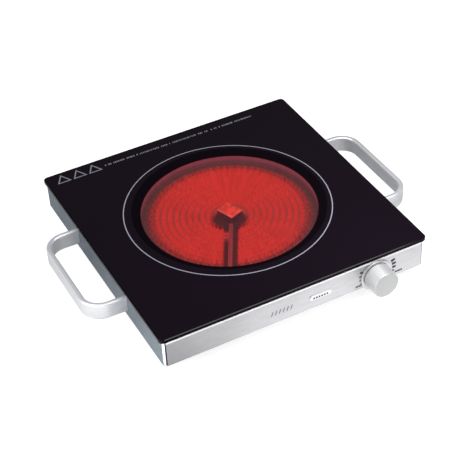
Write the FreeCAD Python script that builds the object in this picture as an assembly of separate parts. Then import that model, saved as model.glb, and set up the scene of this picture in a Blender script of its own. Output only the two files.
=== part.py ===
"""Free-standing single-zone glass-ceramic hot plate.

A square glass-ceramic plate lies on a shallow sheet-steel housing that stands on four rubber
feet.  A radiant heater is pressed up against the underside of the glass by leaf springs.  A
knob on the front panel turns the cam of an energy regulator, and the cam pushes a small
follower against the switch.  A flat-bar handle is screwed to each side.

Every piece is drawn about the middle of the cooking surface, x to the right, y to the back
and z up, and is moved at the end so that the origin lies at the bottom centre of the object.
"""
import FreeCAD, Part
import math
import os

from FreeCAD import Vector

# ---------------------------------------------------------------- driving dimensions, mm
# glass-ceramic plate and the silicone bed under its edge
GLASS_WIDTH = 283.0
GLASS_DEPTH = 280.6
GLASS_THICKNESS = 4.0
GLASS_CORNER = 4.8
GLASS_BEVEL = 0.6
GLASS_LOWER_BEVEL = 0.3
SEAL_THICKNESS = 0.8
SEAL_WIDTH = 8.5
SEAL_SETBACK = 1.0

# sheet-steel housing
HOUSING_HALF = 139.0
HOUSING_BOTTOM = -34.0
SHEET = 0.8
PANEL_SHEET = 1.0
CORNER_RADIUS = 2.6
FLANGE_INNER = 129.5
SEAM_GAP_LEFT = 1.4
SEAM_GAP_RIGHT = 0.6
HEM_DEPTH = 7.0
HEM_SETBACK = 0.6
PANEL_ROLL = 1.4
PANEL_FOLD = 0.6
VENT_GROUPS_X = (-78.0, 0.0)
VENT_COUNT = 9
VENT_PITCH = 7.0
VENT_HALF_WIDTH = 1.5
VENT_LOW = -26.0
VENT_HIGH = -14.0
BASE_GAP = 0.2
BASE_VENT_LENGTH = 34.0
BASE_VENT_WIDTH = 4.0
BASE_VENT_ROW = 18.0
BASE_VENT_COLUMN = 46.0
NAMEPLATE_X = 23.5
NAMEPLATE_Z = -20.7
NAMEPLATE_LENGTH = 23.0
NAMEPLATE_HEIGHT = 5.2
NAMEPLATE_THICKNESS = 0.8

# screws of the housing; a pilot hole is in the sheet, a clearance hole in the loose part
BASE_SCREW_PLACE = 45.0
BASE_SCREW_HEAD_RADIUS = 2.8
BASE_SCREW_HEAD = 1.8
BASE_SCREW_DOME = 1.0
BASE_SCREW_RADIUS = 1.45
BASE_SCREW_LENGTH = 6.0
BASE_PILOT_RADIUS = 1.5
BASE_HOLE_RADIUS = 1.6
CROSS_HALF_LENGTH = 1.6
CROSS_HALF_WIDTH = 0.35
CROSS_DEPTH = 0.9

# feet
FOOT_HEIGHT = 12.0
FOOT_TOP_RADIUS = 9.5
FOOT_BOTTOM_RADIUS = 8.5
FOOT_PLACE = 110.0
FOOT_RECESS_RADIUS = 4.4
FOOT_RECESS_DEPTH = 6.0
FOOT_EDGE = 0.8
FOOT_HOLE_RADIUS = 1.9
FOOT_SCREW_RADIUS = 1.7
FOOT_SCREW_HEAD_RADIUS = 3.5
FOOT_SCREW_HEAD = 2.2
FOOT_SCREW_END = 4.0
FOOT_PLATE_HOLE_RADIUS = 1.8
FOOT_NUT_FLATS = 6.0
FOOT_NUT_THICKNESS = 2.6
FOOT_NUT_HOLE_RADIUS = 1.75

# side handles, a flat bar bent to a U
HANDLE_REACH = 178.0
HANDLE_HALF_LENGTH = 60.3
HANDLE_BAR = 5.3
HANDLE_TOP = -9.8
HANDLE_BOTTOM = -27.5
HANDLE_BEND = 22.0
HANDLE_EDGE = 2.0
HANDLE_SCREW_SPACING = 9.0
HANDLE_SCREW_RADIUS = 1.5
HANDLE_SCREW_HEAD_RADIUS = 2.8
HANDLE_SCREW_HEAD = 2.0
HANDLE_SCREW_REACH = 8.0
HANDLE_HOLE_RADIUS = 1.55
HANDLE_HOLE_REACH = 9.0
HANDLE_WALL_HOLE_RADIUS = 1.7

# control knob and the parts on its axis
KNOB_X = 84.7
KNOB_Z = -22.8
KNOB_FACE = -158.0
KNOB_BACK = -141.6
KNOB_BASE_RADIUS = 14.1
KNOB_FACE_RADIUS = 13.3
KNOB_EDGE = 0.8
KNOB_WALL = 1.8
KNOB_CAP = 3.0
KNOB_BOSS_RADIUS = 6.0
KNOB_BOSS_SETBACK = 2.0
KNOB_SOCKET_FIT = 0.03
KNOB_SPRING_ROOM = 0.5
KNOB_SPRING_HALF_WIDTH = 1.3
KNOB_SPRING_THICKNESS = 0.45
KNOB_GROOVE_DEPTH = 0.6
KNOB_GROOVE_HALF_WIDTH = 0.6
KNOB_TRAVEL_DEG = 290.0
KNOB_POINTER_DEG = -19.4
BEZEL_RADIUS = 16.8
BEZEL_HOLE_RADIUS = 9.4
BEZEL_THICKNESS = 2.0
BEZEL_EDGE = 0.8
SHAFT_RADIUS = 3.0
SHAFT_FLAT = 2.2
RUNNING_CLEARANCE = 0.05
SHAFT_NECK = 4.2
BUSH_RADIUS = 5.0
BUSH_LENGTH = 4.0
BUSH_HOLE_GAP = 0.1
WASHER_RADIUS = 7.5
WASHER_THICKNESS = 0.6
BUSH_NUT_FLATS = 14.0
BUSH_NUT_THICKNESS = 2.4
THREAD_GAP = 0.05

# energy regulator behind the front panel
REGULATOR_WIDTH = 40.0
REGULATOR_HEIGHT = 18.0
REGULATOR_DEPTH = 30.0
REGULATOR_WALL = 1.6
REGULATOR_PLATE = 1.0
BEARING_RADIUS = 5.0
BEARING_LENGTH = 5.0
BEARING_FLOOR = 1.0
SHAFT_END_GAP = 0.3
MERGE = 0.2
GUIDE_SETBACK = 2.2
GUIDE_THICKNESS = 2.4
GUIDE_MARGIN = 2.5
GUIDE_SLACK = 0.3
TAB_PLACES = (-14.0, -7.0, 7.0, 14.0)
TAB_THICKNESS = 0.8
TAB_HALF_HEIGHT = 3.15
TAB_LENGTH = 8.0
TAB_HOLE_RADIUS = 0.9
TAB_HOLE_PLACE = 5.0
CAM_RADIUS = 7.0
CAM_LIFT = 1.5
CAM_DWELL_DEG = 12.0
CAM_FRONT = -126.0
CAM_THICKNESS = 5.0
CAM_GAP = 0.3
FOLLOWER_LENGTH = 6.0
FOLLOWER_WIDTH = 3.0
BIMETAL_GAP = 0.4
BIMETAL_THICKNESS = 0.6
BIMETAL_HALF_HEIGHT = 3.5
BIMETAL_FOOT = 2.4
BIMETAL_FOOT_DEPTH = 4.0

# radiant heater, the 200 mm size; it sits a little off the middle of the plate
HEATER_X = 2.2
HEATER_Y = 1.0
HEATER_RADIUS = 102.0
HEATER_SHEET = 0.8
HEATER_RIM = -6.5
HEATER_FLOOR = -13.5
HEATER_BOTTOM = -24.5
HEATER_DISH_EDGE = 2.5
BOARD_EDGE = 2.2
INSULATION_GAP = 0.1
RING_INNER_RADIUS = 88.5
RIBBON_HEIGHT = 4.5
RIBBON_THICKNESS = 0.6
RIBBON_OUTER_RADIUS = 79.0
RIBBON_PITCH = 6.4
RIBBON_TURNS = 10
LEAD_ANGLE_DEG = 241.2
LEAD_OFFSET = 1.85
LEAD_GAP_HALF = 7.0
STUD_WIDTH = 15.0
STUD_LENGTH = 20.0
STUD_FACET = 1.4
STUD_TURN_DEG = 20.0
STUD_TOP = -4.8
LIMITER_AXIS_Z = -7.4
LIMITER_RADIUS = 2.0
LIMITER_TUBE_START = 22.0
LIMITER_TUBE_END = 106.0
LIMITER_TUBE_WALL = 0.7
LIMITER_TUBE_CAP = 1.0
LIMITER_ROD_RADIUS = 1.2
LIMITER_ROD_GAP = 0.5
LIMITER_ROD_END = 108.0
LIMITER_SLOT_GAP = 0.5
LIMITER_HEAD_START = 104.0
LIMITER_HEAD_END = 128.0
LIMITER_HEAD_HALF = 8.0
LIMITER_HEAD_ABOVE = 2.8
LIMITER_HEAD_BELOW = 14.0
LIMITER_HEAD_EDGE = 1.0
BLADE_PLACES = (-4.5, 4.5)
BLADE_HALF = 0.4
BLADE_END = 132.5
BLADE_LOW = 12.0
BLADE_HIGH = 6.0
HEATER_BLOCK_DEG = -68.0
HEATER_BLOCK_GAP = 0.2
HEATER_BLOCK_DEPTH = 12.0
HEATER_BLOCK_HALF = 11.0
HEATER_BLOCK_LOW = -21.0
HEATER_BLOCK_HIGH = -9.0
HEATER_BLOCK_EDGE = 0.8
HEATER_TAB_PLACES = (-6.0, 6.0)
HEATER_TAB_END = 18.0
HEATER_TAB_LOW = -18.0
HEATER_TAB_HIGH = -12.0
SPRING_PLACE = 72.0
SPRING_WIDTH = 12.0
SPRING_TURNS = (45.0, 135.0, 225.0, 315.0)
SPRING_FOOT_END = 22.0
SPRING_FOOT_START = 12.0
SPRING_CROWN = 6.0
SPRING_SLANT = 0.6

# mains entry at the back
GLAND_X = 96.0
GLAND_Z = -20.0
GLAND_BORE = 3.6
GLAND_BODY_RADIUS = 6.2
GLAND_FLANGE_RADIUS = 9.0
GLAND_FLANGE = 3.5
GLAND_EDGE = 1.2
GLAND_BODY_LENGTH = 7.0
GLAND_NUT_FLATS = 16.0
GLAND_NUT_THICKNESS = 3.0
TERMINAL_X = (70.0, 80.0, 90.0)
TERMINAL_Y = 112.0
TERMINAL_HALF_DEPTH = 8.0
TERMINAL_END_MARGIN = 5.0
TERMINAL_HEIGHT = 13.0
TERMINAL_EDGE = 1.0
TERMINAL_HOLE_Z = 5.0
TERMINAL_HOLE_RADIUS = 2.0
TERMINAL_SCREW_PLACE = 4.0
TERMINAL_WELL_RADIUS = 1.9
TERMINAL_SCREW_RADIUS = 1.8
TERMINAL_SCREW_LOW = 7.4
TERMINAL_SCREW_HIGH = 12.0
SLOT_HALF_WIDTH = 0.3
SLOT_DEPTH = 0.8
EARTH_X = 124.0
EARTH_Y = 84.0
EARTH_RING_RADIUS = 4.0
EARTH_TAG_THICKNESS = 0.8
EARTH_TAG_HALF_WIDTH = 2.5
EARTH_TAG_LENGTH = 10.0
EARTH_TAG_HOLE_RADIUS = 2.1
EARTH_SCREW_RADIUS = 2.0
EARTH_SCREW_HEAD_RADIUS = 3.5
EARTH_SCREW_HEAD = 2.4
WIRE_RADIUS = 1.3
WIRE_BEND = 3.0
WIRE_END_GAP = 0.3
WIRE_FLOOR_GAP = 0.5

# ---------------------------------------------------------------- derived places
GLASS_UNDERSIDE = -GLASS_THICKNESS
HOUSING_TOP = GLASS_UNDERSIDE - SEAL_THICKNESS
BASE_TOP = HOUSING_BOTTOM + SHEET
HOUSING_INNER = HOUSING_HALF - SHEET
PANEL_FRONT = -HOUSING_HALF
PANEL_BACK = PANEL_FRONT + PANEL_SHEET
SEAM_X = HOUSING_HALF - CORNER_RADIUS
PANEL_LEFT = -SEAM_X + SEAM_GAP_LEFT / 2
PANEL_RIGHT = SEAM_X - SEAM_GAP_RIGHT / 2
SURFACE_HEIGHT = FOOT_HEIGHT - HOUSING_BOTTOM
REAR_END = HOUSING_HALF + GLAND_FLANGE
SHIFT = Vector(0, -(KNOB_FACE + REAR_END) / 2, SURFACE_HEIGHT)
HANDLE_MID_Z = (HANDLE_TOP + HANDLE_BOTTOM) / 2
HANDLE_LEG_Y = HANDLE_HALF_LENGTH - HANDLE_BAR / 2
LEAD_DIRECTION = Vector(math.cos(math.radians(LEAD_ANGLE_DEG)), math.sin(math.radians(LEAD_ANGLE_DEG)), 0)
LEAD_SIDE = Vector(-LEAD_DIRECTION.y, LEAD_DIRECTION.x, 0)
HEATER_PLACE = Vector(HEATER_X, HEATER_Y, 0)
REGULATOR_FRONT = PANEL_BACK + REGULATOR_PLATE
REGULATOR_BACK = REGULATOR_FRONT + REGULATOR_DEPTH
CAM_SLOPE = CAM_LIFT / math.radians(KNOB_TRAVEL_DEG)

UP = Vector(0, 0, 1)
BACK = Vector(0, 1, 0)
RIGHT = Vector(1, 0, 0)


# ---------------------------------------------------------------- small shape helpers
def block(x_low, x_high, y_low, y_high, z_low, z_high):
    """Box between two corners."""
    return Part.makeBox(x_high - x_low, y_high - y_low, z_high - z_low, Vector(x_low, y_low, z_low))


def rounded_block(half_x, half_y, corner, z_low, z_high):
    """Box about the z axis with rounded upright edges."""
    solid = block(-half_x, half_x, -half_y, half_y, z_low, z_high)
    upright = [edge for edge in solid.Edges if abs(edge.tangentAt(edge.FirstParameter).z) > 0.9]
    return solid.makeFillet(corner, upright)


def upright_cylinder(x, y, radius, z_low, z_high):
    """Cylinder whose axis is upright."""
    return Part.makeCylinder(radius, z_high - z_low, Vector(x, y, z_low), UP)


def deep_cylinder(x, z, radius, y_front, y_back):
    """Cylinder whose axis runs from front to back."""
    return Part.makeCylinder(radius, y_back - y_front, Vector(x, y_front, z), BACK)


def wide_cylinder(y, z, radius, x_low, x_high):
    """Cylinder whose axis runs from left to right."""
    return Part.makeCylinder(radius, x_high - x_low, Vector(x_low, y, z), RIGHT)


def straight_slot(x, y, length, width, z_low, z_high):
    """Round-ended slot cutter that runs from left to right."""
    reach = (length - width) / 2
    radius = width / 2
    middle = block(x - reach, x + reach, y - radius, y + radius, z_low, z_high)
    return middle.multiFuse([upright_cylinder(end, y, radius, z_low, z_high) for end in (x - reach, x + reach)])


def edges_where(solid, test):
    """Edges of a solid whose middle point passes a test."""
    chosen = []
    for edge in solid.Edges:
        middle = edge.valueAt((edge.FirstParameter + edge.LastParameter) / 2)
        if test(middle):
            chosen.append(edge)
    return chosen


def rounded_path(points, radius):
    """Wire of straight runs joined by arcs that touch both runs."""
    edges = []
    start = points[0]
    for before, corner, after in zip(points, points[1:], points[2:]):
        into = (before - corner).normalize()
        away = (after - corner).normalize()
        half = into.getAngle(away) / 2
        reach = radius / math.tan(half)
        first = corner + into * reach
        last = corner + away * reach
        bisector = (into + away).normalize()
        middle = corner + bisector * (radius / math.sin(half) - radius)
        edges.append(Part.LineSegment(start, first).toShape())
        edges.append(Part.Arc(first, middle, last).toShape())
        start = last
    edges.append(Part.LineSegment(start, points[-1]).toShape())
    return Part.Wire(edges)


def tube_along(points, bend_radius, tube_radius):
    """Round bar that follows a rounded path."""
    path = rounded_path(points, bend_radius)
    direction = (points[1] - points[0]).normalize()
    profile = Part.Wire([Part.makeCircle(tube_radius, points[0], direction)])
    tube = path.makePipeShell([profile], True, False)
    if tube.Volume < 0:
        tube.reverse()
    return tube


def group(solids):
    """Several separate solids kept as one node."""
    return Part.makeCompound(solids)


def mirrored_x(solid):
    """Copy on the other side of the middle plane."""
    return solid.mirror(Vector(0, 0, 0), RIGHT)


# ---------------------------------------------------------------- cooking surface
def glass_plate():
    """Plate with rounded corners, a polished bevel above and a fine one below."""
    plate = rounded_block(GLASS_WIDTH / 2, GLASS_DEPTH / 2, GLASS_CORNER, GLASS_UNDERSIDE, 0)
    plate = plate.makeChamfer(GLASS_BEVEL, edges_where(plate, lambda p: p.z > -0.01))
    return plate.makeChamfer(GLASS_LOWER_BEVEL, edges_where(plate, lambda p: p.z < GLASS_UNDERSIDE + 0.01))


def glass_seal():
    """Silicone bed between the glass and the flanges of the housing."""
    outer = HOUSING_HALF - SEAL_SETBACK
    inner = outer - SEAL_WIDTH
    bed = rounded_block(outer, outer, CORNER_RADIUS, HOUSING_TOP, GLASS_UNDERSIDE)
    return bed.cut(rounded_block(inner, inner, CORNER_RADIUS, HOUSING_TOP - 1, GLASS_UNDERSIDE + 1))


# ---------------------------------------------------------------- housing
def rear_vents():
    """Upright louvre slots in two groups through the rear wall."""
    cutters = []
    for group_x in VENT_GROUPS_X:
        for step in range(VENT_COUNT):
            x = group_x + (step - (VENT_COUNT - 1) / 2) * VENT_PITCH
            cutters.append(block(x - VENT_HALF_WIDTH, x + VENT_HALF_WIDTH, HOUSING_INNER - 1, HOUSING_HALF + 1,
                                 VENT_LOW, VENT_HIGH))
    return cutters


def side_screw_places():
    """y and z of the handle screws on either side."""
    places = []
    for y in (-HANDLE_LEG_Y, HANDLE_LEG_Y):
        for dz in (-HANDLE_SCREW_SPACING / 2, HANDLE_SCREW_SPACING / 2):
            places.append((y, HANDLE_MID_Z + dz))
    return places


def base_screw_places():
    """x and y of the screws that hold the base plate to the flanges."""
    edge = (FLANGE_INNER + HOUSING_INNER) / 2
    places = []
    for along in (-BASE_SCREW_PLACE, BASE_SCREW_PLACE):
        for across in (-edge, edge):
            places.append((along, across))
            places.append((across, along))
    return places


def housing_wrap():
    """Left, rear and right walls bent from one sheet, with flanges turned in above and below.

    Its two front edges turn the corner and fold back in a hem beside the front panel.
    """
    outer = rounded_block(HOUSING_HALF, HOUSING_HALF, CORNER_RADIUS, HOUSING_BOTTOM, HOUSING_TOP)
    cavity_corner = CORNER_RADIUS - SHEET
    cavity = rounded_block(HOUSING_INNER, HOUSING_INNER, cavity_corner, BASE_TOP + SHEET, HOUSING_TOP - SHEET)
    base_room = rounded_block(HOUSING_INNER, HOUSING_INNER, cavity_corner, HOUSING_BOTTOM - 1, BASE_TOP)
    window = block(-FLANGE_INNER, FLANGE_INNER, -FLANGE_INNER, FLANGE_INNER, HOUSING_BOTTOM - 1, HOUSING_TOP + 1)
    wrap = outer.cut(cavity).cut(base_room).cut(window)
    seam_left = SEAM_X + SEAM_GAP_LEFT / 2
    seam_right = SEAM_X + SEAM_GAP_RIGHT / 2
    wrap = wrap.cut(block(-seam_left, seam_right, PANEL_FRONT - 1, -FLANGE_INNER + 1, HOUSING_BOTTOM - 1,
                          HOUSING_TOP + 1))
    wrap = wrap.fuse(mirrored_x(front_hem(seam_left))).fuse(front_hem(seam_right))
    for y, z in side_screw_places():
        wrap = wrap.cut(wide_cylinder(y, z, HANDLE_WALL_HOLE_RADIUS, -HOUSING_HALF - 1, HOUSING_HALF + 1))
    for cutter in rear_vents():
        wrap = wrap.cut(cutter)
    wrap = wrap.cut(deep_cylinder(GLAND_X, GLAND_Z, GLAND_BODY_RADIUS + BUSH_HOLE_GAP, HOUSING_INNER - 1,
                                  HOUSING_HALF + 1))
    for x, y in base_screw_places():
        wrap = wrap.cut(upright_cylinder(x, y, BASE_PILOT_RADIUS, BASE_TOP - 1, BASE_TOP + SHEET + 1))
    return wrap.removeSplitter()


def front_hem(seam):
    """Right-hand edge of the wrap, folded straight back beside the end of the front panel."""
    return block(seam, seam + SHEET, PANEL_FRONT + HEM_SETBACK, PANEL_FRONT + HEM_DEPTH, BASE_TOP + SHEET,
                 HOUSING_TOP - SHEET)


def front_panel():
    """Brushed steel strip with a rolled top edge, folded in along all four sides."""
    face = block(PANEL_LEFT, PANEL_RIGHT, PANEL_FRONT, -FLANGE_INNER, HOUSING_BOTTOM, HOUSING_TOP)
    top_edge = edges_where(face, lambda p: p.y < PANEL_FRONT + 0.01 and p.z > HOUSING_TOP - 0.01)
    panel = face.makeFillet(PANEL_ROLL, top_edge)
    low_edge = edges_where(panel, lambda p: p.y < PANEL_FRONT + 0.01 and p.z < HOUSING_BOTTOM + 0.01)
    panel = panel.makeFillet(PANEL_FOLD, low_edge)
    inside = block(PANEL_LEFT + PANEL_SHEET, PANEL_RIGHT - PANEL_SHEET, PANEL_BACK, -FLANGE_INNER + 1,
                   BASE_TOP + PANEL_SHEET, HOUSING_TOP - PANEL_SHEET)
    under = block(PANEL_LEFT - 1, PANEL_RIGHT + 1, PANEL_BACK, -FLANGE_INNER + 1, HOUSING_BOTTOM - 1, BASE_TOP)
    panel = panel.cut(inside).cut(under)
    panel = panel.cut(deep_cylinder(KNOB_X, KNOB_Z, BUSH_RADIUS + BUSH_HOLE_GAP, PANEL_FRONT - 1, PANEL_BACK + 1))
    for x, y in base_screw_places():
        panel = panel.cut(upright_cylinder(x, y, BASE_PILOT_RADIUS, BASE_TOP - 1, BASE_TOP + PANEL_SHEET + 1))
    return panel


def base_vents():
    """Rows of round-ended slots in the base plate, under the heater."""
    cutters = []
    for row in range(-3, 4):
        for column in (-1, 0, 1):
            cutters.append(straight_slot(column * BASE_VENT_COLUMN, row * BASE_VENT_ROW, BASE_VENT_LENGTH,
                                         BASE_VENT_WIDTH, HOUSING_BOTTOM - 1, BASE_TOP + 1))
    return cutters


def foot_places():
    """Name, x and y of each foot."""
    return [
        ("front_left", -FOOT_PLACE, -FOOT_PLACE),
        ("front_right", FOOT_PLACE, -FOOT_PLACE),
        ("rear_left", -FOOT_PLACE, FOOT_PLACE),
        ("rear_right", FOOT_PLACE, FOOT_PLACE),
    ]


def base_plate():
    """Steel bottom that closes the housing, vented, and drilled for the feet and screws."""
    half = HOUSING_INNER - BASE_GAP
    plate = rounded_block(half, half, CORNER_RADIUS, HOUSING_BOTTOM, BASE_TOP)
    front = PANEL_BACK + BASE_GAP
    plate = plate.cut(block(-half - 1, half + 1, -half - 1, front, HOUSING_BOTTOM - 1, BASE_TOP + 1))
    for cutter in base_vents():
        plate = plate.cut(cutter)
    for _, x, y in foot_places():
        plate = plate.cut(upright_cylinder(x, y, FOOT_PLATE_HOLE_RADIUS, HOUSING_BOTTOM - 1, BASE_TOP + 1))
    for x, y in base_screw_places():
        plate = plate.cut(upright_cylinder(x, y, BASE_HOLE_RADIUS, HOUSING_BOTTOM - 1, BASE_TOP + 1))
    return plate


def base_screws():
    """Self-tapping screws with domed heads, driven up through the base plate."""
    screws = []
    head_end = HOUSING_BOTTOM - BASE_SCREW_HEAD
    cross_top = head_end + CROSS_DEPTH
    for x, y in base_screw_places():
        head = upright_cylinder(x, y, BASE_SCREW_HEAD_RADIUS, head_end, HOUSING_BOTTOM)
        head = head.makeFillet(BASE_SCREW_DOME, edges_where(head, lambda p: p.z < head_end + 0.01))
        for half_x, half_y in ((CROSS_HALF_LENGTH, CROSS_HALF_WIDTH), (CROSS_HALF_WIDTH, CROSS_HALF_LENGTH)):
            head = head.cut(block(x - half_x, x + half_x, y - half_y, y + half_y, head_end - 1, cross_top))
        stem = upright_cylinder(x, y, BASE_SCREW_RADIUS, HOUSING_BOTTOM - MERGE, HOUSING_BOTTOM + BASE_SCREW_LENGTH)
        screws.append(head.fuse(stem))
    return group(screws)


# ---------------------------------------------------------------- feet
def foot(x, y):
    """Moulded rubber foot, slightly tapered, with a recess for its screw."""
    floor = HOUSING_BOTTOM - FOOT_HEIGHT
    body = Part.makeCone(FOOT_BOTTOM_RADIUS, FOOT_TOP_RADIUS, FOOT_HEIGHT, Vector(x, y, floor), UP)
    body = body.makeFillet(FOOT_EDGE, edges_where(body, lambda p: p.z < floor + 0.01))
    body = body.cut(upright_cylinder(x, y, FOOT_RECESS_RADIUS, floor - 1, floor + FOOT_RECESS_DEPTH))
    return body.cut(upright_cylinder(x, y, FOOT_HOLE_RADIUS, floor, HOUSING_BOTTOM + 1))


def foot_screws():
    """One screw through each foot into a nut inside the base plate."""
    screws = []
    seat = HOUSING_BOTTOM - FOOT_HEIGHT + FOOT_RECESS_DEPTH
    for _, x, y in foot_places():
        head_end = seat - FOOT_SCREW_HEAD
        head = upright_cylinder(x, y, FOOT_SCREW_HEAD_RADIUS, head_end, seat)
        head = head.cut(block(x - FOOT_SCREW_RADIUS, x + FOOT_SCREW_RADIUS, y - SLOT_HALF_WIDTH, y + SLOT_HALF_WIDTH,
                              head_end - 1, head_end + SLOT_DEPTH))
        screws.append(head.fuse(upright_cylinder(x, y, FOOT_SCREW_RADIUS, seat - MERGE, BASE_TOP + FOOT_SCREW_END)))
    return group(screws)


def hex_nut(axis_point, direction, flats, thickness, hole_radius):
    """Plain hexagon nut with its seat at axis_point."""
    corner = flats / math.sqrt(3)
    side = direction.cross(UP) if abs(direction.z) < 0.9 else RIGHT
    other = direction.cross(side)
    points = []
    for step in range(7):
        angle = math.radians(60 * step)
        points.append(axis_point + side * (corner * math.cos(angle)) + other * (corner * math.sin(angle)))
    body = Part.Face(Part.makePolygon(points)).extrude(direction * thickness)
    hole = Part.makeCylinder(hole_radius, thickness + 2, axis_point - direction, direction)
    return body.cut(hole)


def foot_nuts():
    """Nuts of the foot screws, on the inside of the base plate."""
    nuts = []
    for _, x, y in foot_places():
        nuts.append(hex_nut(Vector(x, y, BASE_TOP), UP, FOOT_NUT_FLATS, FOOT_NUT_THICKNESS, FOOT_NUT_HOLE_RADIUS))
    return group(nuts)


# ---------------------------------------------------------------- handles
def handle(side):
    """Flat aluminium bar bent to a U whose two ends butt against the side wall."""
    wall = HOUSING_HALF
    outline = bar_outline(wall, HANDLE_REACH, HANDLE_HALF_LENGTH, HANDLE_BEND)
    inner_reach = HANDLE_REACH - HANDLE_BAR
    inner_half = HANDLE_HALF_LENGTH - HANDLE_BAR
    inner_bend = HANDLE_BEND - HANDLE_BAR
    opening = bar_outline(wall - 1, inner_reach, inner_half, inner_bend)
    height = HANDLE_TOP - HANDLE_BOTTOM
    bar = outline.extrude(UP * height).cut(opening.extrude(UP * height))
    long_edges = edges_where(bar, lambda p: p.x > wall + 0.5 and abs(p.z - HANDLE_MID_Z) > height / 2 - 0.01)
    bar = bar.makeFillet(HANDLE_EDGE, long_edges)
    for y, z in side_screw_places():
        bar = bar.cut(wide_cylinder(y, z, HANDLE_HOLE_RADIUS, wall - 1, wall + HANDLE_HOLE_REACH))
    return bar if side > 0 else mirrored_x(bar)


def bar_outline(x_start, reach, half_length, bend):
    """Face bounded by a U that starts and ends on the side wall."""
    z = HANDLE_BOTTOM
    slack = bend * (1 - math.sqrt(0.5))
    rear_wall = Vector(x_start, half_length, z)
    rear_leg = Vector(reach - bend, half_length, z)
    rear_mid = Vector(reach - slack, half_length - slack, z)
    rear_grip = Vector(reach, half_length - bend, z)
    front_grip = Vector(reach, bend - half_length, z)
    front_mid = Vector(reach - slack, slack - half_length, z)
    front_leg = Vector(reach - bend, -half_length, z)
    front_wall = Vector(x_start, -half_length, z)
    edges = [
        Part.LineSegment(rear_wall, rear_leg).toShape(),
        Part.Arc(rear_leg, rear_mid, rear_grip).toShape(),
        Part.LineSegment(rear_grip, front_grip).toShape(),
        Part.Arc(front_grip, front_mid, front_leg).toShape(),
        Part.LineSegment(front_leg, front_wall).toShape(),
        Part.LineSegment(front_wall, rear_wall).toShape(),
    ]
    return Part.Face(Part.Wire(edges))


def handle_screws():
    """Machine screws driven from inside the wall into the ends of the bars."""
    screws = []
    for y, z in side_screw_places():
        head = wide_cylinder(y, z, HANDLE_SCREW_HEAD_RADIUS, HOUSING_INNER - HANDLE_SCREW_HEAD, HOUSING_INNER)
        stem = wide_cylinder(y, z, HANDLE_SCREW_RADIUS, HOUSING_INNER - MERGE, HOUSING_HALF + HANDLE_SCREW_REACH)
        screw = head.fuse(stem)
        screws.append(screw)
        screws.append(mirrored_x(screw))
    return group(screws)


# ---------------------------------------------------------------- knob and regulator
def nameplate():
    """Blank pill-shaped plate on the front panel."""
    half_length = NAMEPLATE_LENGTH / 2
    half_height = NAMEPLATE_HEIGHT / 2
    plate = block(NAMEPLATE_X - half_length, NAMEPLATE_X + half_length, PANEL_FRONT - NAMEPLATE_THICKNESS,
                  PANEL_FRONT, NAMEPLATE_Z - half_height, NAMEPLATE_Z + half_height)
    ends = edges_where(plate, lambda p: abs(abs(p.x - NAMEPLATE_X) - half_length) < 0.01
                       and abs(abs(p.z - NAMEPLATE_Z) - half_height) < 0.01)
    return plate.makeFillet(half_height - 0.05, ends)


def knob_bezel():
    """Flat ring under the knob."""
    front = PANEL_FRONT - BEZEL_THICKNESS
    ring = deep_cylinder(KNOB_X, KNOB_Z, BEZEL_RADIUS, front, PANEL_FRONT)
    ring = ring.makeFillet(BEZEL_EDGE, edges_where(ring, lambda p: p.y < front + 0.01))
    return ring.cut(deep_cylinder(KNOB_X, KNOB_Z, BEZEL_HOLE_RADIUS, front - 1, PANEL_FRONT + 1))


def shaft_section(radius, flat, y_front, y_back):
    """Round bar with one flat, the section of the end of the shaft."""
    bar = deep_cylinder(KNOB_X, KNOB_Z, radius, y_front, y_back)
    cut = block(KNOB_X - radius - 1, KNOB_X + radius + 1, y_front - 1, y_back + 1,
                KNOB_Z + flat, KNOB_Z + radius + 1)
    return bar.cut(cut)


def knob():
    """Hollow, slightly tapered knob with a D-shaped socket and a groove as its pointer."""
    length = KNOB_BACK - KNOB_FACE
    axis = Vector(KNOB_X, KNOB_FACE, KNOB_Z)
    body = Part.makeCone(KNOB_FACE_RADIUS, KNOB_BASE_RADIUS, length, axis, BACK)
    body = body.makeFillet(KNOB_EDGE, edges_where(body, lambda p: p.y < KNOB_FACE + 0.01))
    cap_back = KNOB_FACE + KNOB_CAP
    hollow = Part.makeCone(KNOB_FACE_RADIUS - KNOB_WALL, KNOB_BASE_RADIUS - KNOB_WALL, length - KNOB_CAP + 0.01,
                           Vector(KNOB_X, cap_back, KNOB_Z), BACK)
    body = body.cut(hollow)
    boss = deep_cylinder(KNOB_X, KNOB_Z, KNOB_BOSS_RADIUS, cap_back - MERGE, KNOB_BACK - KNOB_BOSS_SETBACK)
    body = body.fuse(boss)
    socket = shaft_section(SHAFT_RADIUS + KNOB_SOCKET_FIT, SHAFT_FLAT + KNOB_SPRING_ROOM, cap_back + 1, KNOB_BACK + 1)
    body = body.cut(socket)
    groove = block(KNOB_FACE_RADIUS - KNOB_GROOVE_DEPTH, KNOB_BASE_RADIUS + 1, KNOB_FACE - 1, KNOB_BACK + 1,
                   -KNOB_GROOVE_HALF_WIDTH, KNOB_GROOVE_HALF_WIDTH)
    groove.rotate(Vector(0, 0, 0), BACK, -KNOB_POINTER_DEG)
    groove.translate(Vector(KNOB_X, 0, KNOB_Z))
    return body.cut(groove)


def knob_spring():
    """Leaf in the knob's socket that grips the flat of the shaft."""
    low = KNOB_Z + SHAFT_FLAT + KNOB_SOCKET_FIT
    return block(KNOB_X - KNOB_SPRING_HALF_WIDTH, KNOB_X + KNOB_SPRING_HALF_WIDTH, KNOB_FACE + KNOB_CAP + 2,
                 KNOB_BACK - KNOB_BOSS_SETBACK - 1, low, low + KNOB_SPRING_THICKNESS)


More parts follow.
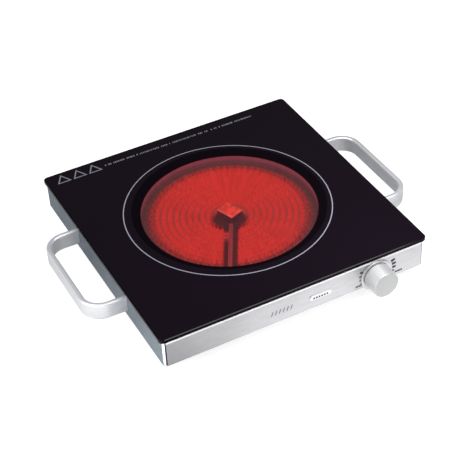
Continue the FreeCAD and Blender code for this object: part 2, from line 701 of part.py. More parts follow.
def regulator_plate():
    """Steel front of the regulator with the threaded bush that carries the shaft."""
    half_width = REGULATOR_WIDTH / 2
    half_height = REGULATOR_HEIGHT / 2
    plate = block(KNOB_X - half_width, KNOB_X + half_width, PANEL_BACK, REGULATOR_FRONT,
                  KNOB_Z - half_height, KNOB_Z + half_height)
    bush_end = PANEL_FRONT - BUSH_LENGTH
    plate = plate.fuse(deep_cylinder(KNOB_X, KNOB_Z, BUSH_RADIUS, bush_end, REGULATOR_FRONT))
    bore_radius = SHAFT_RADIUS + RUNNING_CLEARANCE
    return plate.cut(deep_cylinder(KNOB_X, KNOB_Z, bore_radius, bush_end - 1, REGULATOR_FRONT + 1))


def regulator_washer():
    """Toothed lock washer under the nut, drawn plain."""
    disc = deep_cylinder(KNOB_X, KNOB_Z, WASHER_RADIUS, PANEL_FRONT - WASHER_THICKNESS, PANEL_FRONT)
    return disc.cut(deep_cylinder(KNOB_X, KNOB_Z, BUSH_RADIUS + BUSH_HOLE_GAP, PANEL_FRONT - 2, PANEL_FRONT + 1))


def regulator_nut():
    """Hexagon nut that clamps the regulator to the panel."""
    seat = Vector(KNOB_X, PANEL_FRONT - WASHER_THICKNESS, KNOB_Z)
    return hex_nut(seat, -BACK, BUSH_NUT_FLATS, BUSH_NUT_THICKNESS, BUSH_RADIUS + THREAD_GAP)


def regulator_body():
    """Moulded box behind the plate, with a rear bearing and a guide for the follower."""
    half_width = REGULATOR_WIDTH / 2
    half_height = REGULATOR_HEIGHT / 2
    box = block(KNOB_X - half_width, KNOB_X + half_width, REGULATOR_FRONT, REGULATOR_BACK,
                KNOB_Z - half_height, KNOB_Z + half_height)
    inner_width = half_width - REGULATOR_WALL
    inner_height = half_height - REGULATOR_WALL
    room_back = REGULATOR_BACK - REGULATOR_WALL
    room = block(KNOB_X - inner_width, KNOB_X + inner_width, REGULATOR_FRONT - 1, room_back,
                 KNOB_Z - inner_height, KNOB_Z + inner_height)
    box = box.cut(room)
    bearing_front = REGULATOR_BACK - BEARING_LENGTH
    box = box.fuse(deep_cylinder(KNOB_X, KNOB_Z, BEARING_RADIUS, bearing_front, room_back + MERGE))
    box = box.cut(deep_cylinder(KNOB_X, KNOB_Z, SHAFT_RADIUS + RUNNING_CLEARANCE, bearing_front - 1,
                                REGULATOR_BACK - BEARING_FLOOR))
    guide_x = follower_tip() + GUIDE_SETBACK
    guide_half = inner_height + MERGE
    box = box.fuse(block(guide_x, guide_x + GUIDE_THICKNESS, CAM_FRONT - GUIDE_MARGIN, room_back + MERGE,
                         KNOB_Z - guide_half, KNOB_Z + guide_half))
    window_half = FOLLOWER_WIDTH / 2 + GUIDE_SLACK
    window_back = CAM_FRONT + CAM_THICKNESS + GUIDE_SLACK
    return box.cut(block(guide_x - 1, guide_x + GUIDE_THICKNESS + 1, CAM_FRONT - GUIDE_SLACK, window_back,
                         KNOB_Z - window_half, KNOB_Z + window_half))


def regulator_shaft():
    """Steel shaft with a flat at its front end, running in the bush and the rear bearing."""
    neck = PANEL_FRONT - SHAFT_NECK
    round_part = deep_cylinder(KNOB_X, KNOB_Z, SHAFT_RADIUS, neck, REGULATOR_BACK - BEARING_FLOOR - SHAFT_END_GAP)
    return round_part.fuse(shaft_section(SHAFT_RADIUS, SHAFT_FLAT, KNOB_FACE + KNOB_CAP + 1.5, neck))


def cam_radius_at(turn_deg):
    """Radius of the cam face that meets the follower after the knob has turned so far."""
    if turn_deg <= KNOB_TRAVEL_DEG:
        return CAM_RADIUS - CAM_SLOPE * math.radians(turn_deg)
    low = CAM_RADIUS - CAM_LIFT
    if turn_deg <= KNOB_TRAVEL_DEG + CAM_DWELL_DEG:
        return low
    rise_start = KNOB_TRAVEL_DEG + CAM_DWELL_DEG
    rise_end = 360.0 - CAM_DWELL_DEG
    part = min(1.0, (turn_deg - rise_start) / (rise_end - rise_start))
    return low + CAM_LIFT * (1 - math.cos(math.pi * part)) / 2


def regulator_cam():
    """Spiral cam pressed on the shaft; its radius falls evenly as the knob is turned down."""
    points = []
    for turn in range(0, 360, 10):
        angle = -math.radians(turn)
        radius = cam_radius_at(turn)
        points.append(Vector(KNOB_X + radius * math.cos(angle), CAM_FRONT, KNOB_Z + radius * math.sin(angle)))
    rim = Part.BSplineCurve()
    rim.interpolate(Points=points, PeriodicFlag=True)
    disc = Part.Face(Part.Wire([rim.toShape()])).extrude(BACK * CAM_THICKNESS)
    return disc.cut(deep_cylinder(KNOB_X, KNOB_Z, SHAFT_RADIUS, CAM_FRONT - 1, CAM_FRONT + CAM_THICKNESS + 1))


def follower_tip():
    """x of the follower's nose when the knob stands at its highest setting."""
    return KNOB_X + CAM_RADIUS + CAM_GAP


def cam_follower():
    """Small plunger with a round nose that slides in the regulator's guide."""
    tip = follower_tip()
    half = FOLLOWER_WIDTH / 2
    back = CAM_FRONT + CAM_THICKNESS
    stem = block(tip + half, tip + FOLLOWER_LENGTH, CAM_FRONT, back, KNOB_Z - half, KNOB_Z + half)
    nose = Part.makeCylinder(half, CAM_THICKNESS, Vector(tip + half, CAM_FRONT, KNOB_Z), BACK)
    return stem.fuse(nose).removeSplitter()


def bimetal_strip():
    """Bimetal leaf that the follower loads, standing beside it in the regulator."""
    x = follower_tip() + FOLLOWER_LENGTH + BIMETAL_GAP
    x_back = x + BIMETAL_THICKNESS
    back = REGULATOR_BACK - REGULATOR_WALL
    half_height = REGULATOR_HEIGHT / 2 - REGULATOR_WALL
    leaf = block(x, x_back, CAM_FRONT - 2, back, KNOB_Z - BIMETAL_HALF_HEIGHT, KNOB_Z + BIMETAL_HALF_HEIGHT)
    foot_block = block(x_back, x_back + BIMETAL_FOOT, back - BIMETAL_FOOT_DEPTH, back,
                       KNOB_Z - half_height, KNOB_Z + half_height)
    return leaf.fuse(foot_block)


def regulator_tabs():
    """Push-on terminals at the back of the regulator."""
    tabs = []
    for place in TAB_PLACES:
        x = KNOB_X + place
        tab = block(x - TAB_THICKNESS / 2, x + TAB_THICKNESS / 2, REGULATOR_BACK, REGULATOR_BACK + TAB_LENGTH,
                    KNOB_Z - TAB_HALF_HEIGHT, KNOB_Z + TAB_HALF_HEIGHT)
        tabs.append(tab.cut(wide_cylinder(REGULATOR_BACK + TAB_HOLE_PLACE, KNOB_Z, TAB_HOLE_RADIUS, x - 1, x + 1)))
    return group(tabs)


# ---------------------------------------------------------------- radiant heater
def lead_cylinder(radius, r_from, r_to):
    """Round bar on the axis of the limiter, between two distances from the heater's middle."""
    start = LEAD_DIRECTION * r_from + LEAD_SIDE * LEAD_OFFSET + UP * LIMITER_AXIS_Z
    return Part.makeCylinder(radius, r_to - r_from, start, LEAD_DIRECTION)


def heater_tray():
    """Pressed steel dish that holds the insulation."""
    dish = upright_cylinder(0, 0, HEATER_RADIUS, HEATER_BOTTOM, HEATER_RIM)
    dish = dish.makeFillet(HEATER_DISH_EDGE, edges_where(dish, lambda p: p.z < HEATER_BOTTOM + 0.01))
    inner_radius = HEATER_RADIUS - HEATER_SHEET
    floor = HEATER_BOTTOM + HEATER_SHEET
    inside = upright_cylinder(0, 0, inner_radius, floor, HEATER_RIM + 1)
    inside = inside.makeFillet(HEATER_DISH_EDGE - HEATER_SHEET, edges_where(inside, lambda p: p.z < floor + 0.01))
    dish = dish.cut(inside)
    slot_half = LIMITER_RADIUS + LIMITER_SLOT_GAP
    slot = block(HEATER_RADIUS - 5, HEATER_RADIUS + 5, -slot_half, slot_half, LIMITER_AXIS_Z - slot_half,
                 HEATER_RIM + 1)
    slot.rotate(Vector(0, 0, 0), UP, LEAD_ANGLE_DEG)
    slot.translate(LEAD_SIDE * LEAD_OFFSET)
    return dish.cut(slot)


def heater_base_insulation():
    """Pressed microporous board in the bottom of the dish."""
    floor = HEATER_BOTTOM + HEATER_SHEET
    board = upright_cylinder(0, 0, HEATER_RADIUS - HEATER_SHEET - INSULATION_GAP, floor, HEATER_FLOOR)
    return board.makeFillet(BOARD_EDGE, edges_where(board, lambda p: p.z < floor + 0.01))


def heater_ring_insulation():
    """Ceramic-fibre ring that presses against the underside of the glass."""
    ring = upright_cylinder(0, 0, HEATER_RADIUS - HEATER_SHEET - INSULATION_GAP, HEATER_FLOOR, GLASS_UNDERSIDE)
    ring = ring.cut(upright_cylinder(0, 0, RING_INNER_RADIUS, HEATER_FLOOR - 1, GLASS_UNDERSIDE + 1))
    return ring.cut(lead_cylinder(LIMITER_RADIUS + INSULATION_GAP, RING_INNER_RADIUS - 10, HEATER_RADIUS + 5))


def ribbon_radii():
    """Radius of each turn of the ribbon, from the inside out."""
    first = RIBBON_OUTER_RADIUS - RIBBON_PITCH * (RIBBON_TURNS - 1)
    return [first + RIBBON_PITCH * turn for turn in range(RIBBON_TURNS)]


def ribbon_gap(z_low, z_high):
    """Strip along the limiter where no turn of the ribbon passes."""
    strip = block(0, HEATER_RADIUS, -LEAD_GAP_HALF, LEAD_GAP_HALF, z_low, z_high)
    strip.rotate(Vector(0, 0, 0), UP, LEAD_ANGLE_DEG)
    strip.translate(LEAD_SIDE * LEAD_OFFSET)
    return strip


def heating_ribbon():
    """Resistance ribbon stood on edge in concentric turns that double back beside the limiter."""
    low = HEATER_FLOOR
    high = HEATER_FLOOR + RIBBON_HEIGHT
    half = RIBBON_THICKNESS / 2
    gap = ribbon_gap(low - 1, high + 1)
    radii = ribbon_radii()
    turns = []
    for radius in radii:
        band = upright_cylinder(0, 0, radius + half, low, high)
        band = band.cut(upright_cylinder(0, 0, radius - half, low - 1, high + 1))
        turns.append(band.cut(gap))
    for index in range(len(radii) - 1):
        side = 1 if index % 2 == 0 else -1
        turns.append(ribbon_link(radii[index], radii[index + 1], side, low, high))
    return turns[0].multiFuse(turns[1:])


def ribbon_link(inner, outer, side, low, high):
    """Short strip that joins the ends of two neighbouring turns at the gap."""
    across = LEAD_OFFSET + side * (LEAD_GAP_HALF + RIBBON_THICKNESS / 2)
    start = math.sqrt(inner ** 2 - across ** 2)
    end = math.sqrt(outer ** 2 - across ** 2)
    half = RIBBON_THICKNESS / 2
    strip = block(start - half, end + half, across - half, across + half, low, high)
    strip.rotate(Vector(0, 0, 0), UP, LEAD_ANGLE_DEG)
    return strip


def heater_centre_stud():
    """Rectangular ceramic boss with a faceted top, in the middle of the heater."""
    stud = block(-STUD_WIDTH / 2, STUD_WIDTH / 2, -STUD_LENGTH / 2, STUD_LENGTH / 2, HEATER_FLOOR, STUD_TOP)
    stud = stud.makeChamfer(STUD_FACET, edges_where(stud, lambda p: p.z > STUD_TOP - 0.01))
    stud.rotate(Vector(0, 0, 0), UP, STUD_TURN_DEG)
    return stud


def limiter_tube():
    """Quartz tube of the temperature limiter, closed at its inner end."""
    tube = lead_cylinder(LIMITER_RADIUS, LIMITER_TUBE_START, LIMITER_TUBE_END)
    bore_start = LIMITER_TUBE_START + LIMITER_TUBE_CAP
    return tube.cut(lead_cylinder(LIMITER_RADIUS - LIMITER_TUBE_WALL, bore_start, LIMITER_TUBE_END + 1))


def limiter_rod():
    """Metal rod inside the quartz tube, which grows longer as the heater warms."""
    start = LIMITER_TUBE_START + LIMITER_TUBE_CAP + LIMITER_ROD_GAP
    return lead_cylinder(LIMITER_ROD_RADIUS, start, LIMITER_ROD_END)


def limiter_head():
    """Ceramic switch head of the limiter, outside the dish."""
    head = block(LIMITER_HEAD_START, LIMITER_HEAD_END, -LIMITER_HEAD_HALF, LIMITER_HEAD_HALF,
                 LIMITER_AXIS_Z - LIMITER_HEAD_BELOW, LIMITER_AXIS_Z + LIMITER_HEAD_ABOVE)
    ends = edges_where(head, lambda p: p.x > LIMITER_HEAD_END - 0.01 or p.x < LIMITER_HEAD_START + 0.01)
    head = head.makeChamfer(LIMITER_HEAD_EDGE, ends)
    for y in BLADE_PLACES:
        head = head.fuse(block(LIMITER_HEAD_END - MERGE, BLADE_END, y - BLADE_HALF, y + BLADE_HALF,
                               LIMITER_AXIS_Z - BLADE_LOW, LIMITER_AXIS_Z - BLADE_HIGH))
    head.rotate(Vector(0, 0, 0), UP, LEAD_ANGLE_DEG)
    head.translate(LEAD_SIDE * LEAD_OFFSET)
    return head.cut(lead_cylinder(LIMITER_RADIUS + THREAD_GAP, LIMITER_HEAD_START - 4, LIMITER_ROD_END + MERGE))


def heater_terminal_block():
    """Ceramic block on the side of the dish with the two ends of the ribbon."""
    outer = HEATER_RADIUS + HEATER_BLOCK_DEPTH
    base = block(HEATER_RADIUS + HEATER_BLOCK_GAP, outer, -HEATER_BLOCK_HALF, HEATER_BLOCK_HALF,
                 HEATER_BLOCK_LOW, HEATER_BLOCK_HIGH)
    base = base.makeChamfer(HEATER_BLOCK_EDGE, edges_where(base, lambda p: p.x > outer - 0.01))
    for y in HEATER_TAB_PLACES:
        base = base.fuse(block(outer - MERGE, HEATER_RADIUS + HEATER_TAB_END, y - BLADE_HALF, y + BLADE_HALF,
                               HEATER_TAB_LOW, HEATER_TAB_HIGH))
    base.rotate(Vector(0, 0, 0), UP, HEATER_BLOCK_DEG)
    return base


def heater_support_springs():
    """Four bowed leaves on the base plate that hold the heater up against the glass."""
    rise = HEATER_BOTTOM - BASE_TOP
    lower = [(-SPRING_FOOT_END, 0), (-SPRING_FOOT_START, 0), (-SPRING_CROWN, rise - SHEET)]
    upper = [(-SPRING_CROWN - SPRING_SLANT, rise), (-SPRING_FOOT_START - SPRING_SLANT, SHEET)]
    upper.append((-SPRING_FOOT_END, SHEET))
    outline = lower + [(-x, z) for x, z in reversed(lower)] + [(-x, z) for x, z in reversed(upper)] + upper
    springs = []
    for turn in SPRING_TURNS:
        points = [Vector(x, -SPRING_WIDTH / 2, BASE_TOP + z) for x, z in outline + outline[:1]]
        leaf = Part.Face(Part.makePolygon(points)).extrude(BACK * SPRING_WIDTH)
        leaf.translate(Vector(SPRING_PLACE, 0, 0))
        leaf.rotate(Vector(0, 0, 0), UP, turn)
        springs.append(leaf)
    return group(springs)


# ---------------------------------------------------------------- mains entry and wiring
def cable_gland():
    """Flanged bush in the rear wall that the mains lead passes through."""
    inner_end = HOUSING_INNER - GLAND_BODY_LENGTH
    flange = deep_cylinder(GLAND_X, GLAND_Z, GLAND_FLANGE_RADIUS, HOUSING_HALF, REAR_END)
    flange = flange.makeFillet(GLAND_EDGE, edges_where(flange, lambda p: p.y > REAR_END - 0.01))
    body = deep_cylinder(GLAND_X, GLAND_Z, GLAND_BODY_RADIUS, inner_end, HOUSING_HALF + MERGE)
    return flange.fuse(body).cut(deep_cylinder(GLAND_X, GLAND_Z, GLAND_BORE, inner_end - 1, REAR_END + 1))


def gland_nut():
    """Nut that holds the bush from inside."""
    seat = Vector(GLAND_X, HOUSING_INNER, GLAND_Z)
    return hex_nut(seat, -BACK, GLAND_NUT_FLATS, GLAND_NUT_THICKNESS, GLAND_BODY_RADIUS + THREAD_GAP)


def terminal_screw_places():
    """x and y of the six clamp screws."""
    places = []
    for x in TERMINAL_X:
        places.append((x, TERMINAL_Y - TERMINAL_SCREW_PLACE))
        places.append((x, TERMINAL_Y + TERMINAL_SCREW_PLACE))
    return places


def mains_terminal_block():
    """Three-way screw terminal on the base plate beside the gland."""
    front = TERMINAL_Y - TERMINAL_HALF_DEPTH
    back = TERMINAL_Y + TERMINAL_HALF_DEPTH
    left = TERMINAL_X[0] - TERMINAL_END_MARGIN
    right = TERMINAL_X[-1] + TERMINAL_END_MARGIN
    top = BASE_TOP + TERMINAL_HEIGHT
    hole_z = BASE_TOP + TERMINAL_HOLE_Z
    body = block(left, right, front, back, BASE_TOP, top)
    body = body.makeChamfer(TERMINAL_EDGE, edges_where(body, lambda p: p.z > top - 0.01))
    for x in TERMINAL_X:
        body = body.cut(deep_cylinder(x, hole_z, TERMINAL_HOLE_RADIUS, front - 1, back + 1))
    for x, y in terminal_screw_places():
        body = body.cut(upright_cylinder(x, y, TERMINAL_WELL_RADIUS, hole_z, top + 1))
    return body


def terminal_screws():
    """Clamp screws of the mains terminal block."""
    screws = []
    top = BASE_TOP + TERMINAL_SCREW_HIGH
    for x, y in terminal_screw_places():
        screw = upright_cylinder(x, y, TERMINAL_SCREW_RADIUS, BASE_TOP + TERMINAL_SCREW_LOW, top)
        slot = block(x - 2, x + 2, y - SLOT_HALF_WIDTH, y + SLOT_HALF_WIDTH, top - SLOT_DEPTH, top + 1)
        screws.append(screw.cut(slot))
    return group(screws)


def earth_tag():
    """Ring tag of the earth lead under its screw."""
    top = BASE_TOP + EARTH_TAG_THICKNESS
    tag = upright_cylinder(EARTH_X, EARTH_Y, EARTH_RING_RADIUS, BASE_TOP, top)
    tag = tag.fuse(block(EARTH_X - EARTH_TAG_HALF_WIDTH, EARTH_X + EARTH_TAG_HALF_WIDTH, EARTH_Y,
                         EARTH_Y + EARTH_TAG_LENGTH, BASE_TOP, top))
    return tag.cut(upright_cylinder(EARTH_X, EARTH_Y, EARTH_TAG_HOLE_RADIUS, BASE_TOP - 1, top + 1))


def earth_screw():
    """Brass screw that bonds the earth tag to the base plate."""
    seat = BASE_TOP + EARTH_TAG_THICKNESS
    top = seat + EARTH_SCREW_HEAD
    head = upright_cylinder(EARTH_X, EARTH_Y, EARTH_SCREW_HEAD_RADIUS, seat, top)
    head = head.cut(block(EARTH_X - 4, EARTH_X + 4, EARTH_Y - SLOT_HALF_WIDTH, EARTH_Y + SLOT_HALF_WIDTH,
                          top - SLOT_DEPTH, top + 1))
    return head.fuse(upright_cylinder(EARTH_X, EARTH_Y, EARTH_SCREW_RADIUS, BASE_TOP, seat + MERGE))


def internal_wires():
    """Insulated leads between the mains terminals, regulator, limiter and heater."""
    floor = BASE_TOP + WIRE_RADIUS + WIRE_FLOOR_GAP
    entry = BASE_TOP + TERMINAL_HOLE_Z
    terminal_front = TERMINAL_Y - TERMINAL_HALF_DEPTH - WIRE_END_GAP
    tab_end = REGULATOR_BACK + TAB_LENGTH + WIRE_END_GAP
    blade_z = LIMITER_AXIS_Z - (BLADE_LOW + BLADE_HIGH) / 2
    blade = HEATER_PLACE + LEAD_DIRECTION * (BLADE_END + WIRE_END_GAP) + UP * blade_z
    blade += LEAD_SIDE * (LEAD_OFFSET + BLADE_PLACES[1])
    left_tab, outer_tab, inner_tab = (KNOB_X + TAB_PLACES[index] for index in (0, 3, 2))
    routes = [
        [Vector(TERMINAL_X[1], terminal_front, entry), Vector(TERMINAL_X[1], 92, entry), Vector(118, 66, floor),
         Vector(118, -64, floor), Vector(outer_tab, -82, KNOB_Z), Vector(outer_tab, tab_end, KNOB_Z)],
        [Vector(TERMINAL_X[2], terminal_front, entry), Vector(TERMINAL_X[2], 96, entry), Vector(126, 70, floor),
         Vector(126, -56, floor), Vector(inner_tab, -76, KNOB_Z), Vector(inner_tab, tab_end, KNOB_Z)],
        [Vector(left_tab, tab_end, KNOB_Z), Vector(left_tab, -88, KNOB_Z), Vector(58, -96, floor),
         Vector(38, -122, floor), Vector(-24, -128, floor), blade + LEAD_DIRECTION * 6.5, blade],
    ]
    return group([tube_along(route, WIRE_BEND, WIRE_RADIUS) for route in routes])


# ---------------------------------------------------------------- writing the pieces
def heater_pieces():
    """Nodes of the radiant heater, by name, moved to where the heater sits."""
    pieces = {
        "heater_tray": heater_tray(),
        "heater_base_insulation": heater_base_insulation(),
        "heater_ring_insulation": heater_ring_insulation(),
        "heating_ribbon": heating_ribbon(),
        "heater_centre_stud": heater_centre_stud(),
        "limiter_tube": limiter_tube(),
        "limiter_rod": limiter_rod(),
        "limiter_head": limiter_head(),
        "heater_terminal_block": heater_terminal_block(),
        "heater_support_springs": heater_support_springs(),
    }
    for piece in pieces.values():
        piece.translate(HEATER_PLACE)
    return pieces


def all_pieces():
    """Every node of the object, by name."""
    pieces = {
        "glass_plate": glass_plate(),
        "glass_seal": glass_seal(),
        "housing_wrap": housing_wrap(),
        "front_panel": front_panel(),
        "base_plate": base_plate(),
        "base_screws": base_screws(),
        "foot_screws": foot_screws(),
        "foot_nuts": foot_nuts(),
        "left_handle": handle(-1),
        "right_handle": handle(1),
        "handle_screws": handle_screws(),
        "nameplate": nameplate(),
        "knob_bezel": knob_bezel(),
        "knob": knob(),
        "knob_spring": knob_spring(),
        "regulator_plate": regulator_plate(),
        "regulator_washer": regulator_washer(),
        "regulator_nut": regulator_nut(),
        "regulator_body": regulator_body(),
        "regulator_shaft": regulator_shaft(),
        "regulator_cam": regulator_cam(),
        "cam_follower": cam_follower(),
        "bimetal_strip": bimetal_strip(),
        "regulator_tabs": regulator_tabs(),
        "cable_gland": cable_gland(),
        "gland_nut": gland_nut(),
        "mains_terminal_block": mains_terminal_block(),
        "terminal_screws": terminal_screws(),
        "earth_tag": earth_tag(),
        "earth_screw": earth_screw(),
        "internal_wires": internal_wires(),
    }
    pieces.update(heater_pieces())
    for name, x, y in foot_places():
        pieces["foot_" + name] = foot(x, y)
    return pieces


os.makedirs("parts", exist_ok=True)
for node, shape in all_pieces().items():
    shape.translate(SHIFT)
    shape.exportStep("parts/" + node + ".step")
    print(node, "valid", shape.isValid(), "solids", len(shape.Solids), "volume", round(shape.Volume, 1))
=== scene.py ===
import math

import bmesh
import bpy
from mathutils import Matrix, Vector


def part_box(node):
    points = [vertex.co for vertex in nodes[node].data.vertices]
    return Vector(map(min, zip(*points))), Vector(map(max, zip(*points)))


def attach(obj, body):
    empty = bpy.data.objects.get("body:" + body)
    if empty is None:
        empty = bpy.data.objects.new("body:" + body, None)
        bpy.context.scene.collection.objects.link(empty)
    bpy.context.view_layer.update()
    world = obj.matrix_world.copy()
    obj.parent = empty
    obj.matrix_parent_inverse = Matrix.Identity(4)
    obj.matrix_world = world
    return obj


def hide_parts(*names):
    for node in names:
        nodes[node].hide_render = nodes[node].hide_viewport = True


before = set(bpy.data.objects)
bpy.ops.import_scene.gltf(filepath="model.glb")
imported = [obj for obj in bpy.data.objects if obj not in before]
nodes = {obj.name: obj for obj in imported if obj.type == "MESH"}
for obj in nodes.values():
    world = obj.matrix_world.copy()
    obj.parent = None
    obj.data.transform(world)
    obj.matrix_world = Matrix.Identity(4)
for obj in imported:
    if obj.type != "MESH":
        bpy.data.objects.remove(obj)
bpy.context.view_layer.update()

# ------------------------------------------------------------------ camera, floor and light
# A table-top studio: a pale seamless floor, soft boxes overhead, at the left, at the front and over
# the knob, and a dim room.  The camera looks down on the front left corner of the plate.
glass_low, glass_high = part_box("glass_plate")
PLATE = Vector(((glass_low.x + glass_high.x) / 2, (glass_low.y + glass_high.y) / 2, glass_high.z))
CAMERA_AZIMUTH = math.radians(-25.95)
CAMERA_ELEVATION = math.radians(39.38)
CAMERA_ROLL = math.radians(-3.29)
CAMERA_DISTANCE = 1.2856
CAMERA_AIM = PLATE + Vector((-0.01465, -0.04292, 0.0))
CAMERA_LENS = 102.11
SENSOR_WIDTH = 36.0
FLOOR_HALF = 6.0
FLOOR_GREY = 0.45
FLOOR_LIFT = 0.78
CARD_LIGHT_FAR = 0.54
CARD_LIGHT_NEAR = 0.85
CARD_LEFT = -0.118
CARD_RIGHT = -0.028
CARD_BACK = -0.10
CARD_FRONT = -0.133
CARD_NEAR = -0.150
CARD_FAR = -0.172
SIDE_CARD_LIGHT = 0.42
SIDE_CARD_EDGE = -0.142
SIDE_CARD_BACK = 0.06
SIDE_CARD_FRONT = -0.10
CORNER_CARD_LIGHT = 1.6
CORNER_CARD_EDGE = -0.152
CORNER_CARD_SOFT = 0.006
ROOM_SKY = (0.42, 0.43, 0.45, 1.0)
ROOM_BANDS = (
    (0.0, (0.30, 0.31, 0.33, 1.0)),
    (0.5, (0.10, 0.10, 0.11, 1.0)),
    (0.62, (0.03, 0.03, 0.033, 1.0)),
    (0.74, (0.03, 0.03, 0.033, 1.0)),
    (0.92, (0.9, 0.92, 0.95, 1.0)),
)
KNOB_SPOT = (0.085, -0.145, 0.03)


def place_camera():
    """Camera on a sphere about its aim, turned a little about its own line of sight."""
    data = bpy.data.cameras.new("camera")
    data.lens = CAMERA_LENS
    data.sensor_width = SENSOR_WIDTH
    data.clip_start = 0.05
    data.clip_end = 20.0
    camera = bpy.data.objects.new("camera", data)
    back = Vector((math.sin(CAMERA_AZIMUTH) * math.cos(CAMERA_ELEVATION),
                   -math.cos(CAMERA_AZIMUTH) * math.cos(CAMERA_ELEVATION),
                   math.sin(CAMERA_ELEVATION)))
    turn = (-back).to_track_quat("-Z", "Y").to_matrix().to_4x4()
    camera.matrix_world = (Matrix.Translation(CAMERA_AIM + back * CAMERA_DISTANCE)
                           @ turn @ Matrix.Rotation(CAMERA_ROLL, 4, "Z"))
    bpy.context.scene.collection.objects.link(camera)
    bpy.context.scene.camera = camera


def mesh_object(name, bm):
    """Turns a finished bmesh into an object at the origin."""
    mesh = bpy.data.meshes.new(name)
    bm.to_mesh(mesh)
    bm.free()
    thing = bpy.data.objects.new(name, mesh)
    bpy.context.scene.collection.objects.link(thing)
    return thing


def new_material(name, colour, metallic, roughness):
    """Material with one Principled shader; gives back the material, its tree and the shader."""
    material = bpy.data.materials.new(name)
    material.use_nodes = True
    tree = material.node_tree
    shader = tree.nodes["Principled BSDF"]
    shader.inputs["Base Color"].default_value = (*colour, 1.0)
    shader.inputs["Metallic"].default_value = metallic
    shader.inputs["Roughness"].default_value = roughness
    return material, tree, shader


def feed(tree, socket, value):
    """Links a socket into another, or sets it to a plain value."""
    if isinstance(value, bpy.types.NodeSocket):
        tree.links.new(value, socket)
    else:
        socket.default_value = value


def calculated(tree, operation, *terms):
    """Math node on sockets or plain numbers; gives back its output."""
    node = tree.nodes.new("ShaderNodeMath")
    node.operation = operation
    for socket, term in zip(node.inputs, terms):
        feed(tree, socket, term)
    return node.outputs[0]


def ranged(tree, value, from_low, from_high, to_low=0.0, to_high=1.0):
    """Map Range node, clamped at both ends; gives back its output."""
    node = tree.nodes.new("ShaderNodeMapRange")
    for label, term in (("Value", value), ("From Min", from_low), ("From Max", from_high),
                        ("To Min", to_low), ("To Max", to_high)):
        feed(tree, node.inputs[label], term)
    return node.outputs["Result"]


def mixed(tree, factor, first, second, how="MIX"):
    """Mix node on two colours; gives back its output."""
    node = tree.nodes.new("ShaderNodeMix")
    node.data_type = "RGBA"
    node.blend_type = how
    feed(tree, node.inputs["Factor"], factor)
    feed(tree, node.inputs["A"], first)
    feed(tree, node.inputs["B"], second)
    return node.outputs["Result"]


def colour_bands(tree, value, bands):
    """Colour ramp through (place, colour) pairs; gives back its output."""
    ramp = tree.nodes.new("ShaderNodeValToRGB")
    elements = ramp.color_ramp.elements
    while len(elements) < len(bands):
        elements.new(0.5)
    for element, (place, colour) in zip(elements, bands):
        element.position = place
        element.color = colour
    feed(tree, ramp.inputs["Fac"], value)
    return ramp.outputs["Color"]


def object_split(tree):
    """Object coordinates and their three parts."""
    place = tree.nodes.new("ShaderNodeTexCoord")
    split = tree.nodes.new("ShaderNodeSeparateXYZ")
    tree.links.new(place.outputs["Object"], split.inputs[0])
    return place.outputs["Object"], split.outputs["X"], split.outputs["Y"], split.outputs["Z"]


def soft_box(name, place, aim, width, height, power):
    """Rectangular light that faces a point."""
    data = bpy.data.lights.new(name, "AREA")
    data.shape = "RECTANGLE"
    data.size = width
    data.size_y = height
    data.energy = power
    light = bpy.data.objects.new(name, data)
    direction = Vector(aim) - Vector(place)
    light.matrix_world = Matrix.Translation(place) @ direction.to_track_quat("-Z", "Y").to_matrix().to_4x4()
    bpy.context.scene.collection.objects.link(light)


def studio_floor():
    """Large pale floor, with the light of reflector cards that lie before and beside the plate."""
    bm = bmesh.new()
    bmesh.ops.create_grid(bm, x_segments=2, y_segments=2, size=FLOOR_HALF)
    floor = mesh_object("studio_floor", bm)
    material, tree, shader = new_material("pale_floor", (FLOOR_GREY, FLOOR_GREY, FLOOR_GREY), 0.0, 0.9)
    _, x, y, _ = object_split(tree)
    across = ranged(tree, x, CARD_LEFT, CARD_RIGHT)
    ahead = ranged(tree, y, CARD_BACK, CARD_FRONT)
    corner = ranged(tree, x, CORNER_CARD_EDGE, CORNER_CARD_EDGE - CORNER_CARD_SOFT, 0.0, CORNER_CARD_LIGHT)
    front_light = ranged(tree, y, CARD_FAR, CARD_NEAR, CARD_LIGHT_FAR, CARD_LIGHT_NEAR)
    in_front = calculated(tree, "MULTIPLY_ADD", across, front_light, corner)
    before = calculated(tree, "MULTIPLY", in_front, ahead)
    at_side = calculated(tree, "LESS_THAN", x, SIDE_CARD_EDGE)
    side_light = ranged(tree, y, SIDE_CARD_BACK, SIDE_CARD_FRONT, 0.0, SIDE_CARD_LIGHT)
    card = calculated(tree, "MULTIPLY_ADD", at_side, side_light, before)
    path = tree.nodes.new("ShaderNodeLightPath")
    seen = calculated(tree, "MULTIPLY", path.outputs["Is Camera Ray"], FLOOR_LIFT)
    unseen = calculated(tree, "SUBTRACT", 1.0, path.outputs["Is Camera Ray"])
    lift = calculated(tree, "MULTIPLY_ADD", unseen, card, seen)
    tree.links.new(lift, shader.inputs["Emission Strength"])
    shader.inputs["Emission Color"].default_value = (1.0, 1.0, 1.0, 1.0)
    shader.inputs["Specular IOR Level"].default_value = 0.0
    floor.data.materials.append(material)


def studio_room():
    """Room seen in polished surfaces: pale walls, a dark band above them and a bright ceiling."""
    world = bpy.data.worlds.new("studio_room")
    bpy.context.scene.world = world
    world.use_nodes = True
    tree = world.node_tree
    background = tree.nodes["Background"]
    place = tree.nodes.new("ShaderNodeTexCoord")
    split = tree.nodes.new("ShaderNodeSeparateXYZ")
    path = tree.nodes.new("ShaderNodeLightPath")
    tree.links.new(place.outputs["Generated"], split.inputs[0])
    walls = colour_bands(tree, split.outputs["Z"], ROOM_BANDS)
    tree.links.new(mixed(tree, path.outputs["Is Diffuse Ray"], walls, ROOM_SKY), background.inputs["Color"])


